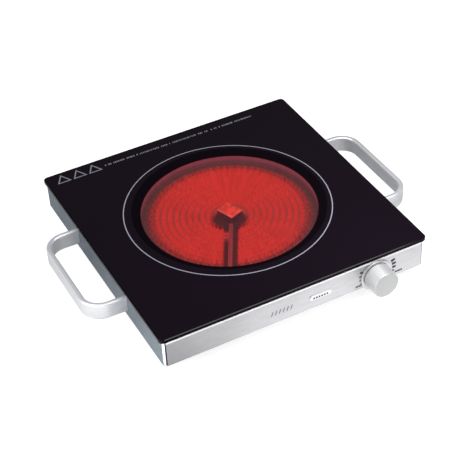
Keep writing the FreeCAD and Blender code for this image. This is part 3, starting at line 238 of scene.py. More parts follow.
bpy.context.scene.view_settings.view_transform = "Standard"
place_camera()
studio_floor()
studio_room()
soft_box("soft_box_overhead", (-0.7, -0.1, 1.35), PLATE, width=1.0, height=1.0, power=10.0)
soft_box("soft_box_left", (-1.5, 0.0, 0.50), PLATE, width=0.9, height=0.6, power=14.0)
soft_box("soft_box_front", (0.68, -1.27, 1.39), PLATE, width=1.3, height=0.5, power=9.0)
soft_box("soft_box_knob", (0.12, -0.14, 0.29), KNOB_SPOT, width=0.1, height=0.1, power=0.75)

# ------------------------------------------------------------------ steel housing
# The wrap and the front strip are stainless sheet brushed lengthwise; the base plate is
# galvanised.  They are bent from sheet and screwed together from below.  The wrap's steel is painted
# darker than the front strip's as painted shade; the strip's rolled top edge and the wrap's front
# bend carry painted highlights.
MM = 0.001
SHEET_SMOOTH = 0.28
SHEET_ROUGH = 0.42
SHEET_CLOUDS = 22.0
CLOUD_SHARE = 0.35
SCRATCH_SHARPNESS = 0.65
EDGE_POLISH = 0.6
ROLL = 2.7 * MM
ROLL_START = 0.8
BEND = 2.6 * MM
BEND_START = 0.5
panel_low, panel_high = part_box("front_panel")


def effect_group(name, inputs, outputs):
    """Empty shader node group with its sockets; gives back the group and its two end nodes."""
    group = bpy.data.node_groups.new(name, "ShaderNodeTree")
    for label, kind, value in inputs:
        socket = group.interface.new_socket(label, in_out="INPUT", socket_type=kind)
        if value is not None:
            socket.default_value = value
    for label, kind in outputs:
        group.interface.new_socket(label, in_out="OUTPUT", socket_type=kind)
    return group, group.nodes.new("NodeGroupInput"), group.nodes.new("NodeGroupOutput")


def noise(tree, vector, scale, detail, roughness=0.5):
    """Noise texture; gives back its value."""
    node = tree.nodes.new("ShaderNodeTexNoise")
    feed(tree, node.inputs["Vector"], vector)
    feed(tree, node.inputs["Scale"], scale)
    node.inputs["Detail"].default_value = detail
    node.inputs["Roughness"].default_value = roughness
    return node.outputs["Fac"]


def surface_outputs(group, out, shade, into, height):
    """Colour and roughness between the group's own limits, and the height for its bump."""
    colour = mixed(group, shade, into.outputs["Dark"], into.outputs["Light"])
    rough = ranged(group, shade, 0.0, 1.0, into.outputs["Rough"], into.outputs["Smooth"])
    group.links.new(colour, out.inputs["Color"])
    group.links.new(rough, out.inputs["Roughness"])
    group.links.new(height, out.inputs["Height"])


def brushed_group():
    """Long fine scratches: Stretch is how many fit in a metre along each axis."""
    group, into, out = effect_group(
        "brushed_grain",
        [("Vector", "NodeSocketVector", None),
         ("Stretch", "NodeSocketVector", (40.0, 40.0, 4000.0)),
         ("Light", "NodeSocketColor", (0.66, 0.67, 0.68, 1.0)),
         ("Dark", "NodeSocketColor", (0.5, 0.51, 0.52, 1.0)),
         ("Smooth", "NodeSocketFloat", 0.25),
         ("Rough", "NodeSocketFloat", 0.42)],
        [("Color", "NodeSocketColor"), ("Roughness", "NodeSocketFloat"), ("Height", "NodeSocketFloat")])
    scale = group.nodes.new("ShaderNodeVectorMath")
    scale.operation = "MULTIPLY"
    group.links.new(into.outputs["Vector"], scale.inputs[0])
    group.links.new(into.outputs["Stretch"], scale.inputs[1])
    scratches = noise(group, scale.outputs["Vector"], 1.0, 5.0, SCRATCH_SHARPNESS)
    clouds = noise(group, into.outputs["Vector"], SHEET_CLOUDS, 3.0)
    worn = calculated(group, "MULTIPLY_ADD", clouds, CLOUD_SHARE, scratches)
    shade = ranged(group, worn, 0.42, 0.92)
    surface_outputs(group, out, shade, into, scratches)
    return group


BRUSHED = brushed_group()


def add_effect(tree, shader, group, bump_distance, values):
    """Places an effect group in a material and feeds colour, roughness and bump from it."""
    place = tree.nodes.new("ShaderNodeTexCoord")
    effect = tree.nodes.new("ShaderNodeGroup")
    effect.node_tree = group
    for label, value in values.items():
        effect.inputs[label].default_value = value
    bump = tree.nodes.new("ShaderNodeBump")
    bump.inputs["Distance"].default_value = bump_distance
    tree.links.new(place.outputs["Object"], effect.inputs["Vector"])
    tree.links.new(effect.outputs["Color"], shader.inputs["Base Color"])
    tree.links.new(effect.outputs["Roughness"], shader.inputs["Roughness"])
    tree.links.new(effect.outputs["Height"], bump.inputs["Height"])
    tree.links.new(bump.outputs["Normal"], shader.inputs["Normal"])
    return place.outputs["Object"]


def brushed_metal(name, light, dark, smooth, rough, stretch, bump_distance=0.000004, metallic=1.0):
    """Bare or anodised metal with directional scratches."""
    material, tree, shader = new_material(name, light, metallic, rough)
    add_effect(tree, shader, BRUSHED, bump_distance,
               {"Light": (*light, 1.0), "Dark": (*dark, 1.0), "Smooth": smooth, "Rough": rough,
                "Stretch": stretch})
    return material


def finish(material, *names):
    """Gives CAD nodes a material."""
    for name in names:
        for slot in nodes[name].material_slots:
            slot.material = material


def steel_with_painted_highlight(name, light, dark, stretch, metallic, axis, bend, painted_highlight, edge_metallic):
    """Brushed sheet with a painted highlight between two places along one axis, where it is also polished
    smoother.
    """
    material = brushed_metal(name, light=light, dark=dark, smooth=SHEET_SMOOTH, rough=SHEET_ROUGH,
                             stretch=stretch, bump_distance=0.000012, metallic=metallic)
    tree = material.node_tree
    shader = tree.nodes["Principled BSDF"]
    _, x, y, z = object_split(tree)
    # The band between the two places takes a painted highlight colour; its lower roughness is real polish.
    edge = ranged(tree, {"x": x, "y": y, "z": z}[axis], *bend)
    sheet = shader.inputs["Base Color"].links[0].from_socket
    tree.links.new(mixed(tree, edge, sheet, (*painted_highlight, 1.0)), shader.inputs["Base Color"])
    rough = shader.inputs["Roughness"].links[0].from_socket
    polish = ranged(tree, edge, 0.0, 1.0, 1.0, EDGE_POLISH)
    tree.links.new(calculated(tree, "MULTIPLY", rough, polish), shader.inputs["Roughness"])
    if edge_metallic != metallic:
        tree.links.new(ranged(tree, edge, 0.0, 1.0, metallic, edge_metallic), shader.inputs["Metallic"])
    return material


# Painted white highlight along the rolled top edge of the front strip, which turns non-metallic there.
front_steel = steel_with_painted_highlight("front_steel", light=(0.58, 0.572, 0.588), dark=(0.43, 0.43, 0.445),
                          stretch=(60.0, 900.0, 1500.0), metallic=0.75, axis="z",
                          bend=(panel_high.z - ROLL, panel_high.z - ROLL * ROLL_START),
                          painted_highlight=(1.0, 1.0, 1.0), edge_metallic=0.0)
finish(front_steel, "front_panel")
# Painted shade: the wrap is the front strip's steel made darker; its front bend has a painted highlight.
side_steel_painted_shade = steel_with_painted_highlight("side_steel_painted_shade", light=(0.31, 0.375, 0.43), dark=(0.17, 0.21, 0.25),
                         stretch=(900.0, 60.0, 1500.0), metallic=1.0, axis="y",
                         bend=(panel_low.y + BEND, panel_low.y + BEND * BEND_START),
                         painted_highlight=(0.85, 0.84, 0.87), edge_metallic=1.0)
finish(side_steel_painted_shade, "housing_wrap")
galvanised = brushed_metal("galvanised", light=(0.6, 0.61, 0.62), dark=(0.42, 0.43, 0.45),
                           smooth=0.35, rough=0.55, stretch=(60.0, 70.0, 60.0))
finish(galvanised, "base_plate", "heater_tray", "regulator_plate")

# ------------------------------------------------------------------ rubber feet
# Four black moulded rubber feet, slightly tapered.  Each is held by one screw that goes up through
# its recess into a nut inside the base plate.
MOULD_CLOUDS = 60.0
GRAIN_SHARE = 0.4


def moulded_group():
    """Fine moulded or cast texture with slow colour variation."""
    group, into, out = effect_group(
        "moulded_surface",
        [("Vector", "NodeSocketVector", None),
         ("Grain", "NodeSocketFloat", 900.0),
         ("Light", "NodeSocketColor", (0.05, 0.05, 0.05, 1.0)),
         ("Dark", "NodeSocketColor", (0.02, 0.02, 0.02, 1.0)),
         ("Smooth", "NodeSocketFloat", 0.5),
         ("Rough", "NodeSocketFloat", 0.75)],
        [("Color", "NodeSocketColor"), ("Roughness", "NodeSocketFloat"), ("Height", "NodeSocketFloat")])
    grain = noise(group, into.outputs["Vector"], into.outputs["Grain"], 3.0)
    clouds = noise(group, into.outputs["Vector"], MOULD_CLOUDS, 4.0)
    shade = calculated(group, "MULTIPLY_ADD", grain, GRAIN_SHARE, clouds)
    surface_outputs(group, out, shade, into, grain)
    return group


MOULDED = moulded_group()


def moulded(name, light, dark, smooth, rough, grain=900.0, bump_distance=0.00002):
    """Rubber, plastic or ceramic with a fine surface."""
    material, tree, shader = new_material(name, light, 0.0, rough)
    add_effect(tree, shader, MOULDED, bump_distance,
               {"Light": (*light, 1.0), "Dark": (*dark, 1.0), "Smooth": smooth, "Rough": rough,
                "Grain": grain})
    return material


black_rubber = moulded("black_rubber", light=(0.035, 0.035, 0.036), dark=(0.016, 0.016, 0.017),
                       smooth=0.55, rough=0.8)
finish(black_rubber, "foot_front_left", "foot_front_right", "foot_rear_left", "foot_rear_right")

# ------------------------------------------------------------------ screws, nuts and tabs
# Small turned or stamped pieces.  The screws, their nuts and the lock washer are zinc-plated steel;
# the regulator's nut and the electrical tabs and clamp screws are plain brass.
zinc_plate = brushed_metal("zinc_plate", light=(0.66, 0.67, 0.68), dark=(0.5, 0.5, 0.52),
                           smooth=0.18, rough=0.34, stretch=(300.0, 300.0, 300.0))
finish(zinc_plate, "base_screws", "foot_screws", "foot_nuts", "handle_screws", "regulator_washer")
plain_brass = brushed_metal("plain_brass", light=(0.76, 0.6, 0.3), dark=(0.6, 0.45, 0.2),
                            smooth=0.2, rough=0.36, stretch=(300.0, 300.0, 300.0))
finish(plain_brass, "regulator_nut", "regulator_tabs", "terminal_screws", "earth_tag", "earth_screw")

# ------------------------------------------------------------------ side handles
# Flat aluminium bar with rounded edges, bent to a U and satin anodised.  Machine screws from inside
# the side walls hold the two ends of each bar.
satin_aluminium = brushed_metal("satin_aluminium", light=(0.86, 0.86, 0.88), dark=(0.70, 0.70, 0.72),
                                smooth=0.32, rough=0.46, stretch=(90.0, 90.0, 1500.0),
                                bump_distance=0.000006, metallic=0.68)
finish(satin_aluminium, "left_handle", "right_handle")

# ------------------------------------------------------------------ insulation board
# A round board of pressed insulation lies in the bottom of the heater's steel dish.  Its glow is
# painted light of the ribbon, brightest under the turns; before the boss and beside the limiter it
# carries a painted shadow over board that lies cold there, and at its rim painted shade.
tray_low, tray_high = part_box("heater_tray")
HEATER = Vector(((tray_low.x + tray_high.x) / 2, (tray_low.y + tray_high.y) / 2, PLATE.z))
PITCH = 6.4 * MM
OUTER_TURN = 79.0 * MM
LEAD_ANGLE = math.radians(241.2)
LEAD_OFFSET = 1.85 * MM
# Size of the painted shadow before the boss and beside the limiter, over board that lies cold there.
LINE_DARK = 5.8
LINE_SOFT = 8.2
LINE_START = (32.0, 42.0)
BLOB_AHEAD = 7.5
BLOB_CORE = 15.5
BLOB_EDGE = 21.0
# Lobes scallop the edge of the painted rim shade.
LOBES = 68.0
LOBE_REACH = 3.0
RIM_START = 73.0
RIM_END = 86.0
# Glow colours: the ribbon's own red heat; on the board, fibre, boss and quartz they are painted light of the
# ribbon.
GLOW_STRENGTH = 3.2
GLOW_RED = (0.68, 0.036, 0.028)
GLOW_DIM = (0.38, 0.036, 0.034)
# Dark of the painted shadow before the boss and beside the limiter, and of board that lies cold there.
SHADOW_AND_COLD_DARK = (0.045, 0.010, 0.013)
# Painted shade at the rim, under the fibre wall.
RIM_SHADE_DARK = (0.085, 0.027, 0.028)


def spoke_group():
    """Place about a middle point in millimetres, soft streaks like spokes, and even lobes."""
    group, into, out = effect_group(
        "spokes",
        [("Vector", "NodeSocketVector", None), ("Middle", "NodeSocketVector", (0.0, 0.0, 0.0))],
        [("Distance", "NodeSocketFloat"), ("Height", "NodeSocketFloat"), ("Streak", "NodeSocketFloat"),
         ("Lobe", "NodeSocketFloat")])
    away = group.nodes.new("ShaderNodeVectorMath")
    away.operation = "SUBTRACT"
    group.links.new(into.outputs["Vector"], away.inputs[0])
    group.links.new(into.outputs["Middle"], away.inputs[1])
    flat = group.nodes.new("ShaderNodeVectorMath")
    flat.operation = "MULTIPLY"
    flat.inputs[1].default_value = (1000.0, 1000.0, 0.0)
    group.links.new(away.outputs["Vector"], flat.inputs[0])
    length = group.nodes.new("ShaderNodeVectorMath")
    length.operation = "LENGTH"
    group.links.new(flat.outputs["Vector"], length.inputs[0])
    direction = group.nodes.new("ShaderNodeVectorMath")
    direction.operation = "NORMALIZE"
    group.links.new(flat.outputs["Vector"], direction.inputs[0])
    lifted = group.nodes.new("ShaderNodeCombineXYZ")
    group.links.new(calculated(group, "MULTIPLY", length.outputs["Value"], 0.0016), lifted.inputs["Z"])
    along = group.nodes.new("ShaderNodeVectorMath")
    along.operation = "ADD"
    group.links.new(direction.outputs["Vector"], along.inputs[0])
    group.links.new(lifted.outputs["Vector"], along.inputs[1])
    split = group.nodes.new("ShaderNodeSeparateXYZ")
    group.links.new(away.outputs["Vector"], split.inputs[0])
    group.links.new(length.outputs["Value"], out.inputs["Distance"])
    group.links.new(calculated(group, "MULTIPLY", split.outputs["Z"], 1000.0), out.inputs["Height"])
    group.links.new(noise(group, along.outputs["Vector"], 26.0, 3.0), out.inputs["Streak"])
    angle = calculated(group, "ARCTAN2", split.outputs["Y"], split.outputs["X"])
    wave = calculated(group, "COSINE", calculated(group, "MULTIPLY", angle, LOBES))
    group.links.new(calculated(group, "MULTIPLY_ADD", wave, 0.5, 0.5), out.inputs["Lobe"])
    return group


SPOKES = spoke_group()


def spokes(tree, vector, middle=HEATER):
    """Places the spoke group; gives back its distance, height, streak and lobe."""
    effect = tree.nodes.new("ShaderNodeGroup")
    effect.node_tree = SPOKES
    effect.inputs["Middle"].default_value = middle
    tree.links.new(vector, effect.inputs["Vector"])
    return [effect.outputs[label] for label in ("Distance", "Height", "Streak", "Lobe")]


def fired(name, light, dark, rough):
    """Fired surface with a fine grain, ready for its glow."""
    material, tree, shader = new_material(name, light, 0.0, rough)
    vector = add_effect(tree, shader, MOULDED, 0.00004,
                        {"Light": (*light, 1.0), "Dark": (*dark, 1.0), "Smooth": rough, "Rough": rough})
    return material, tree, shader, vector


def lead_shadow(tree, vector):
    """Mask of the painted shadow before the boss and beside the limiter, where the board also lies cold."""
    lead = tree.nodes.new("ShaderNodeMapping")
    turn = Matrix.Rotation(-LEAD_ANGLE, 3, "Z")
    lead.inputs["Location"].default_value = -(turn @ HEATER)
    lead.inputs["Rotation"].default_value = (0.0, 0.0, -LEAD_ANGLE)
    split = tree.nodes.new("ShaderNodeSeparateXYZ")
    tree.links.new(vector, lead.inputs["Vector"])
    tree.links.new(lead.outputs["Vector"], split.inputs[0])
    along = calculated(tree, "DIVIDE", split.outputs["X"], MM)
    across = calculated(tree, "DIVIDE", calculated(tree, "SUBTRACT", split.outputs["Y"], LEAD_OFFSET), MM)
    near_line = ranged(tree, calculated(tree, "ABSOLUTE", across), LINE_SOFT, LINE_DARK)
    half_way = ranged(tree, along, *LINE_START)
    right_side = ranged(tree, across, -1.5, 1.0)
    beside = calculated(tree, "MULTIPLY", near_line, calculated(tree, "MAXIMUM", half_way, right_side))
    from_blob = calculated(tree, "SUBTRACT", along, BLOB_AHEAD)
    sideways = calculated(tree, "DIVIDE", split.outputs["Y"], MM)
    side_square = calculated(tree, "MULTIPLY", sideways, sideways)
    squares = calculated(tree, "MULTIPLY_ADD", from_blob, from_blob, side_square)
    before = ranged(tree, calculated(tree, "SQRT", squares), BLOB_EDGE, BLOB_CORE)
    beside_ahead = calculated(tree, "MULTIPLY", beside, ranged(tree, along, 0.0, 6.0))
    return calculated(tree, "MAXIMUM", beside_ahead, before)


def board_material():
    """Insulation with painted light of the turns on it; painted shadow, over cold board, before the boss and
    beside the limiter, and painted shade at its rim.
    """
    material, tree, shader, vector = fired("board_painted_glow", (0.26, 0.12, 0.10), (0.18, 0.08, 0.07), 0.9)
    distance, _, streak, lobe = spokes(tree, vector)
    reach = calculated(tree, "MULTIPLY_ADD", lobe, LOBE_REACH, distance)
    phase = calculated(tree, "MULTIPLY", calculated(tree, "SUBTRACT", distance, OUTER_TURN / MM),
                       2 * math.pi / (PITCH / MM))
    under_turn = ranged(tree, calculated(tree, "COSINE", phase), -0.3, 0.9)
    field = mixed(tree, under_turn, (*GLOW_DIM, 1.0), (*GLOW_RED, 1.0))
    # Painted shade at the rim, under the fibre wall.
    rim = ranged(tree, reach, RIM_START, RIM_END)
    lit = mixed(tree, rim, field, (*RIM_SHADE_DARK, 1.0))
    dim = ranged(tree, streak, 0.35, 0.65, 0.8, 1.0)
    streaked = mixed(tree, 1.0, lit, dim, "MULTIPLY")
    # Painted shadow before the boss and beside the limiter, over board that lies cold there.
    shadow = lead_shadow(tree, vector)
    tree.links.new(mixed(tree, shadow, streaked, (*SHADOW_AND_COLD_DARK, 1.0)), shader.inputs["Emission Color"])
    shader.inputs["Emission Strength"].default_value = GLOW_STRENGTH
    return material


finish(board_material(), "heater_base_insulation")

# ------------------------------------------------------------------ heating ribbon
# Finely corrugated strip of resistance alloy, stood on edge on the board in ten concentric turns.
# The turns double back on both sides of the limiter, and all of it runs at red heat.  Towards the
# rim it is darkened with painted shade, and before the boss with painted shadow.
ribbon_low, ribbon_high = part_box("heating_ribbon")
TURNS = 10
LEAD_HALF = 7.3 * MM
WAVE_LENGTH = 4.6 * MM
WAVE_HEIGHT = 1.6 * MM
STEPS_PER_WAVE = 8
RIBBON_SHEET = 0.25 * MM
RIBBON_SHADOW = 0.85
# Red heat, then painted shade towards the rim under the fibre wall.
ALLOY_BANDS = ((20.0, GLOW_RED), (73.0, GLOW_RED), (85.0, RIM_SHADE_DARK))


def turn_angle(radius, side):
    """Angle where a turn stops beside the gap."""
    return LEAD_ANGLE + math.asin((LEAD_OFFSET + side * LEAD_HALF) / radius)


def ribbon_path():
    """Points of the corrugated ribbon seen from above, from its inner end to its outer end."""
    points = []
    for turn in range(TURNS):
        radius = OUTER_TURN - PITCH * (TURNS - 1 - turn)
        start = turn_angle(radius, 1)
        end = turn_angle(radius, -1) + 2 * math.pi
        if turn % 2 == 0:
            start, end = end, start
        waves = round(abs(end - start) * radius / WAVE_LENGTH)
        count = waves * STEPS_PER_WAVE
        for step in range(count + 1):
            part = step / count
            angle = start + (end - start) * part
            reach = radius + WAVE_HEIGHT * math.sin(2 * math.pi * waves * part)
            points.append(Vector((HEATER.x + reach * math.cos(angle), HEATER.y + reach * math.sin(angle),
                                  ribbon_low.z)))
    return points


def corrugated_ribbon():
    """The path drawn up into a strip and given its thickness."""
    bm = bmesh.new()
    path = [bm.verts.new(point) for point in ribbon_path()]
    edges = [bm.edges.new(pair) for pair in zip(path, path[1:])]
    risen = bmesh.ops.extrude_edge_only(bm, edges=edges)["geom"]
    lifted = [item for item in risen if isinstance(item, bmesh.types.BMVert)]
    bmesh.ops.translate(bm, verts=lifted, vec=(0.0, 0.0, ribbon_high.z - ribbon_low.z))
    bmesh.ops.recalc_face_normals(bm, faces=bm.faces)
    bmesh.ops.solidify(bm, geom=bm.faces[:], thickness=RIBBON_SHEET)
    bmesh.ops.recalc_face_normals(bm, faces=bm.faces)
    return mesh_object("glowing_ribbon", bm)


def glow(tree, shader, value, low, high, bands, streak, depth):
    """Emission that follows value through colour bands and is dimmed by the streaks."""
    width = high - low
    placed = [((at - low) / width, (*colour, 1.0)) for at, colour in bands]
    colour = colour_bands(tree, ranged(tree, value, low, high), placed)
    dim = ranged(tree, streak, 0.35, 0.65, 1.0 - depth, 1.0)
    tree.links.new(mixed(tree, 1.0, colour, dim, "MULTIPLY"), shader.inputs["Emission Color"])
    shader.inputs["Emission Strength"].default_value = GLOW_STRENGTH


def alloy_material():
    """Oxidised ribbon at red heat, with painted shade towards the rim and painted shadow before the boss."""
    material, tree, shader, vector = fired("glowing_alloy", (0.12, 0.05, 0.045), (0.07, 0.03, 0.03), 0.6)
    distance, _, streak, lobe = spokes(tree, vector)
    reach = calculated(tree, "MULTIPLY_ADD", lobe, LOBE_REACH, distance)
    glow(tree, shader, reach, 0.0, 90.0, ALLOY_BANDS, streak, 0.2)
    hot = shader.inputs["Emission Color"].links[0].from_socket
    # Painted shadow before the boss and beside the limiter.
    shadow = calculated(tree, "MULTIPLY", lead_shadow(tree, vector), RIBBON_SHADOW)
    tree.links.new(mixed(tree, shadow, hot, (*SHADOW_AND_COLD_DARK, 1.0)), shader.inputs["Emission Color"])
    return material


ribbon = corrugated_ribbon()
ribbon.data.materials.append(alloy_material())
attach(ribbon, "housing")
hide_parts("heating_ribbon")

# ------------------------------------------------------------------ fibre ring
# Ring of pressed ceramic fibre between the board and the glass.  Its wall carries painted light of
# the heater and painted shade towards its foot; its flat top lies against the glass and is painted
# black as shade.
BOARD_LEVEL = -13.5
GLASS_BACK = -4.0
FIBRE_TOP = -4.05
BLACK = (0.0, 0.0, 0.0)
# Painted light of the heater on the wall, painted shade at its foot, and painted black shade on the top.
WALL_PAINTED_LIGHT = (0.20, 0.032, 0.045)
WALL_PAINTED_SHADE = (0.10, 0.022, 0.027)
FIBRE_BANDS = ((BOARD_LEVEL, WALL_PAINTED_SHADE), (-10.5, WALL_PAINTED_SHADE), (-7.5, WALL_PAINTED_LIGHT), (-4.3, WALL_PAINTED_LIGHT),
               (FIBRE_TOP, BLACK))


def fibre_material():
    """Fibre wall with painted light of the heater, painted shade towards its foot and a painted black top."""
    material, tree, shader, vector = fired("fibre_painted_glow", (0.30, 0.22, 0.24), (0.22, 0.15, 0.16), 0.95)
    _, height, streak, _ = spokes(tree, vector)
    glow(tree, shader, height, BOARD_LEVEL, GLASS_BACK, FIBRE_BANDS, streak, 0.15)
    fibre = shader.inputs["Base Color"].links[0].from_socket
    # The top against the glass is painted black as shade.
    painted_shade_top = calculated(tree, "GREATER_THAN", height, FIBRE_TOP)
    tree.links.new(mixed(tree, painted_shade_top, fibre, (*BLACK, 1.0)), shader.inputs["Base Color"])
    return material


finish(fibre_material(), "heater_ring_insulation")

# ------------------------------------------------------------------ ceramic boss
# Pressed ceramic block in the middle of the heater, with its upper edges cut off.  Its top carries
# painted red light of the ribbon, its cut faces a painted highlight and its sides painted shade.
CRACK_SIZE = 190.0
GLOW_STUD = (0.92, 0.050, 0.035)
FACET_HIGHLIGHT = (0.98, 0.105, 0.085)
# Painted shade on the sides, painted highlight on the cut faces, painted red light on top.
STUD_BANDS = ((-7.0, SHADOW_AND_COLD_DARK), (-6.25, FACET_HIGHLIGHT), (-5.2, FACET_HIGHLIGHT), (-4.85, GLOW_STUD))


def stud_material():
    """Ceramic boss with painted red light on top, a painted highlight on the cut faces and painted shade down
    its sides.
    """
    material, tree, shader, vector = fired("stud_painted_light", (0.30, 0.12, 0.1), (0.22, 0.08, 0.07), 0.8)
    _, height, _, _ = spokes(tree, vector)
    cracks = ranged(tree, noise(tree, vector, CRACK_SIZE, 2.0), 0.40, 0.60)
    glow(tree, shader, height, BOARD_LEVEL, GLASS_BACK, STUD_BANDS, cracks, 0.3)
    return material


finish(stud_material(), "heater_centre_stud")

# ------------------------------------------------------------------ temperature limiter and terminals
# The limiter is a clear quartz tube over a metal rod, laid along the gap in the turns, with a ceramic
# switch head outside the dish.  The terminal block is ceramic too; the springs are rolled strip.
QUARTZ_ALPHA = 0.8
# Painted red light of the heater on the tube.
QUARTZ_BANDS = ((20.0, (0.22, 0.024, 0.028)), (90.0, (0.28, 0.026, 0.030)))


def quartz_material():
    """Clear quartz, slightly clouded by heat, with painted red light of the heater."""
    material, tree, shader, vector = fired("quartz_painted_glow", (0.5, 0.2, 0.2), (0.35, 0.12, 0.12), 0.15)
    distance, _, streak, _ = spokes(tree, vector)
    glow(tree, shader, distance, 0.0, 110.0, QUARTZ_BANDS, streak, 0.2)
    shader.inputs["Alpha"].default_value = QUARTZ_ALPHA
    return material


finish(quartz_material(), "limiter_tube")
white_ceramic = moulded("white_ceramic", light=(0.82, 0.8, 0.76), dark=(0.7, 0.68, 0.64),
                        smooth=0.3, rough=0.5)
finish(white_ceramic, "limiter_head", "heater_terminal_block")
spring_strip = brushed_metal("spring_strip", light=(0.42, 0.42, 0.44), dark=(0.28, 0.28, 0.3),
                             smooth=0.3, rough=0.45, stretch=(200.0, 200.0, 200.0))
finish(spring_strip, "heater_support_springs", "limiter_rod", "knob_spring", "bimetal_strip")

# ------------------------------------------------------------------ regulator, mains entry and wiring
# The regulator is a moulded box with a nylon cam and follower.  A nylon bush in the rear wall lets
# the mains lead in to a nylon terminal block, and silicone-sleeved leads join them to the heater.
phenolic = moulded("phenolic", light=(0.06, 0.045, 0.04), dark=(0.035, 0.028, 0.025), smooth=0.3, rough=0.5)
finish(phenolic, "regulator_body")
white_nylon = moulded("white_nylon", light=(0.8, 0.8, 0.76), dark=(0.68, 0.68, 0.64), smooth=0.35, rough=0.55)
finish(white_nylon, "regulator_cam", "cam_follower", "mains_terminal_block")
black_nylon = moulded("black_nylon", light=(0.03, 0.03, 0.032), dark=(0.016, 0.016, 0.017),
                      smooth=0.35, rough=0.55)
finish(black_nylon, "cable_gland", "gland_nut")
silicone_sleeve = moulded("silicone_sleeve", light=(0.42, 0.12, 0.07), dark=(0.3, 0.08, 0.05),
                          smooth=0.4, rough=0.65)
finish(silicone_sleeve, "internal_wires")

# ------------------------------------------------------------------ glass-ceramic plate
# Polished black glass-ceramic on a bed of black silicone.  A grey ring is printed round the heated
# zone, and three plain triangles and a row of short bars stand along the back edge.  Over the
# heater the red shows through; the edge faces are set metallic on the black colour, so they show
# no reflection and stay black.
RING_RADIUS = 103.5
RING_WIDTH = 0.95
CLEAR_RADIUS = 88.3
CLEAR_FLARE = 2.2
CLEAR_ALPHA = 0.5
GLOSS = 0.045
PRINT_ROUGH = 0.3
BLACK_EDGE_BELOW = -0.63
SIDE_BEVEL = (glass_high.x - glass_low.x) / 2 / MM - 0.65
PRINT_GREY = (0.27, 0.27, 0.32, 1.0)
PRINT_COVER = 0.62
GLASS_BLACK = (0.0060, 0.0036, 0.0064)
TRIANGLE_START = -132.4
TRIANGLE_PITCH = 17.3
TRIANGLE_COUNT = 3
TRIANGLE_BASE_Y = 122.3
TRIANGLE_HEIGHT = 13.6
TRIANGLE_SLOPE = 1.78
TRIANGLE_LINE = 0.65
BAR_START = -77.0
BAR_END = 95.0
BAR_Y = 127.0
BAR_HEIGHT = 2.2
BAR_PITCH = 1.9
BAR_GAPS = 0.16


def line_mask(tree, distance, width):
    """White where a distance is within half a width of nought, with a soft edge."""
    return ranged(tree, calculated(tree, "ABSOLUTE", distance), width / 2 + 0.15, width / 2 - 0.15)


def triangle_mask(tree, x, y):
    """Outlines of the three triangles; x is folded so that one outline serves for all."""
    start = calculated(tree, "SUBTRACT", x, TRIANGLE_START)
    folded = calculated(tree, "SUBTRACT", calculated(tree, "FLOORED_MODULO", start, TRIANGLE_PITCH),
                        TRIANGLE_PITCH / 2)
    above_base = calculated(tree, "SUBTRACT", y, TRIANGLE_BASE_Y)
    beside = calculated(tree, "MULTIPLY", calculated(tree, "ABSOLUTE", folded), TRIANGLE_SLOPE)
    side_height = calculated(tree, "SUBTRACT", TRIANGLE_HEIGHT, beside)
    under_side = calculated(tree, "SUBTRACT", side_height, above_base)
    scaled_side = calculated(tree, "DIVIDE", under_side, math.hypot(TRIANGLE_SLOPE, 1.0))
    inside = calculated(tree, "MINIMUM", above_base, scaled_side)
    outline = line_mask(tree, calculated(tree, "SUBTRACT", inside, TRIANGLE_LINE), TRIANGLE_LINE * 2)
    in_row = calculated(tree, "COMPARE", start, TRIANGLE_PITCH * TRIANGLE_COUNT / 2,
                        TRIANGLE_PITCH * TRIANGLE_COUNT / 2)
    return calculated(tree, "MULTIPLY", outline, in_row)


def bar_mask(tree, x, y):
    """Row of short upright bars of uneven width, with some left out."""
    cell = calculated(tree, "DIVIDE", calculated(tree, "SUBTRACT", x, BAR_START), BAR_PITCH)
    chance = tree.nodes.new("ShaderNodeTexWhiteNoise")
    chance.noise_dimensions = "1D"
    tree.links.new(calculated(tree, "FLOOR", cell), chance.inputs["W"])
    width = calculated(tree, "MULTIPLY_ADD", chance.outputs["Value"], 0.5, 0.3)
    printed = calculated(tree, "LESS_THAN", calculated(tree, "FRACT", cell), width)
    kept = calculated(tree, "GREATER_THAN", chance.outputs["Value"], BAR_GAPS)
    middle = (BAR_START + BAR_END) / 2
    in_row = calculated(tree, "COMPARE", x, middle, (BAR_END - BAR_START) / 2)
    tall = line_mask(tree, calculated(tree, "SUBTRACT", y, BAR_Y), BAR_HEIGHT)
    return calculated(tree, "MULTIPLY", calculated(tree, "MULTIPLY", printed, kept),
                      calculated(tree, "MULTIPLY", in_row, tall))


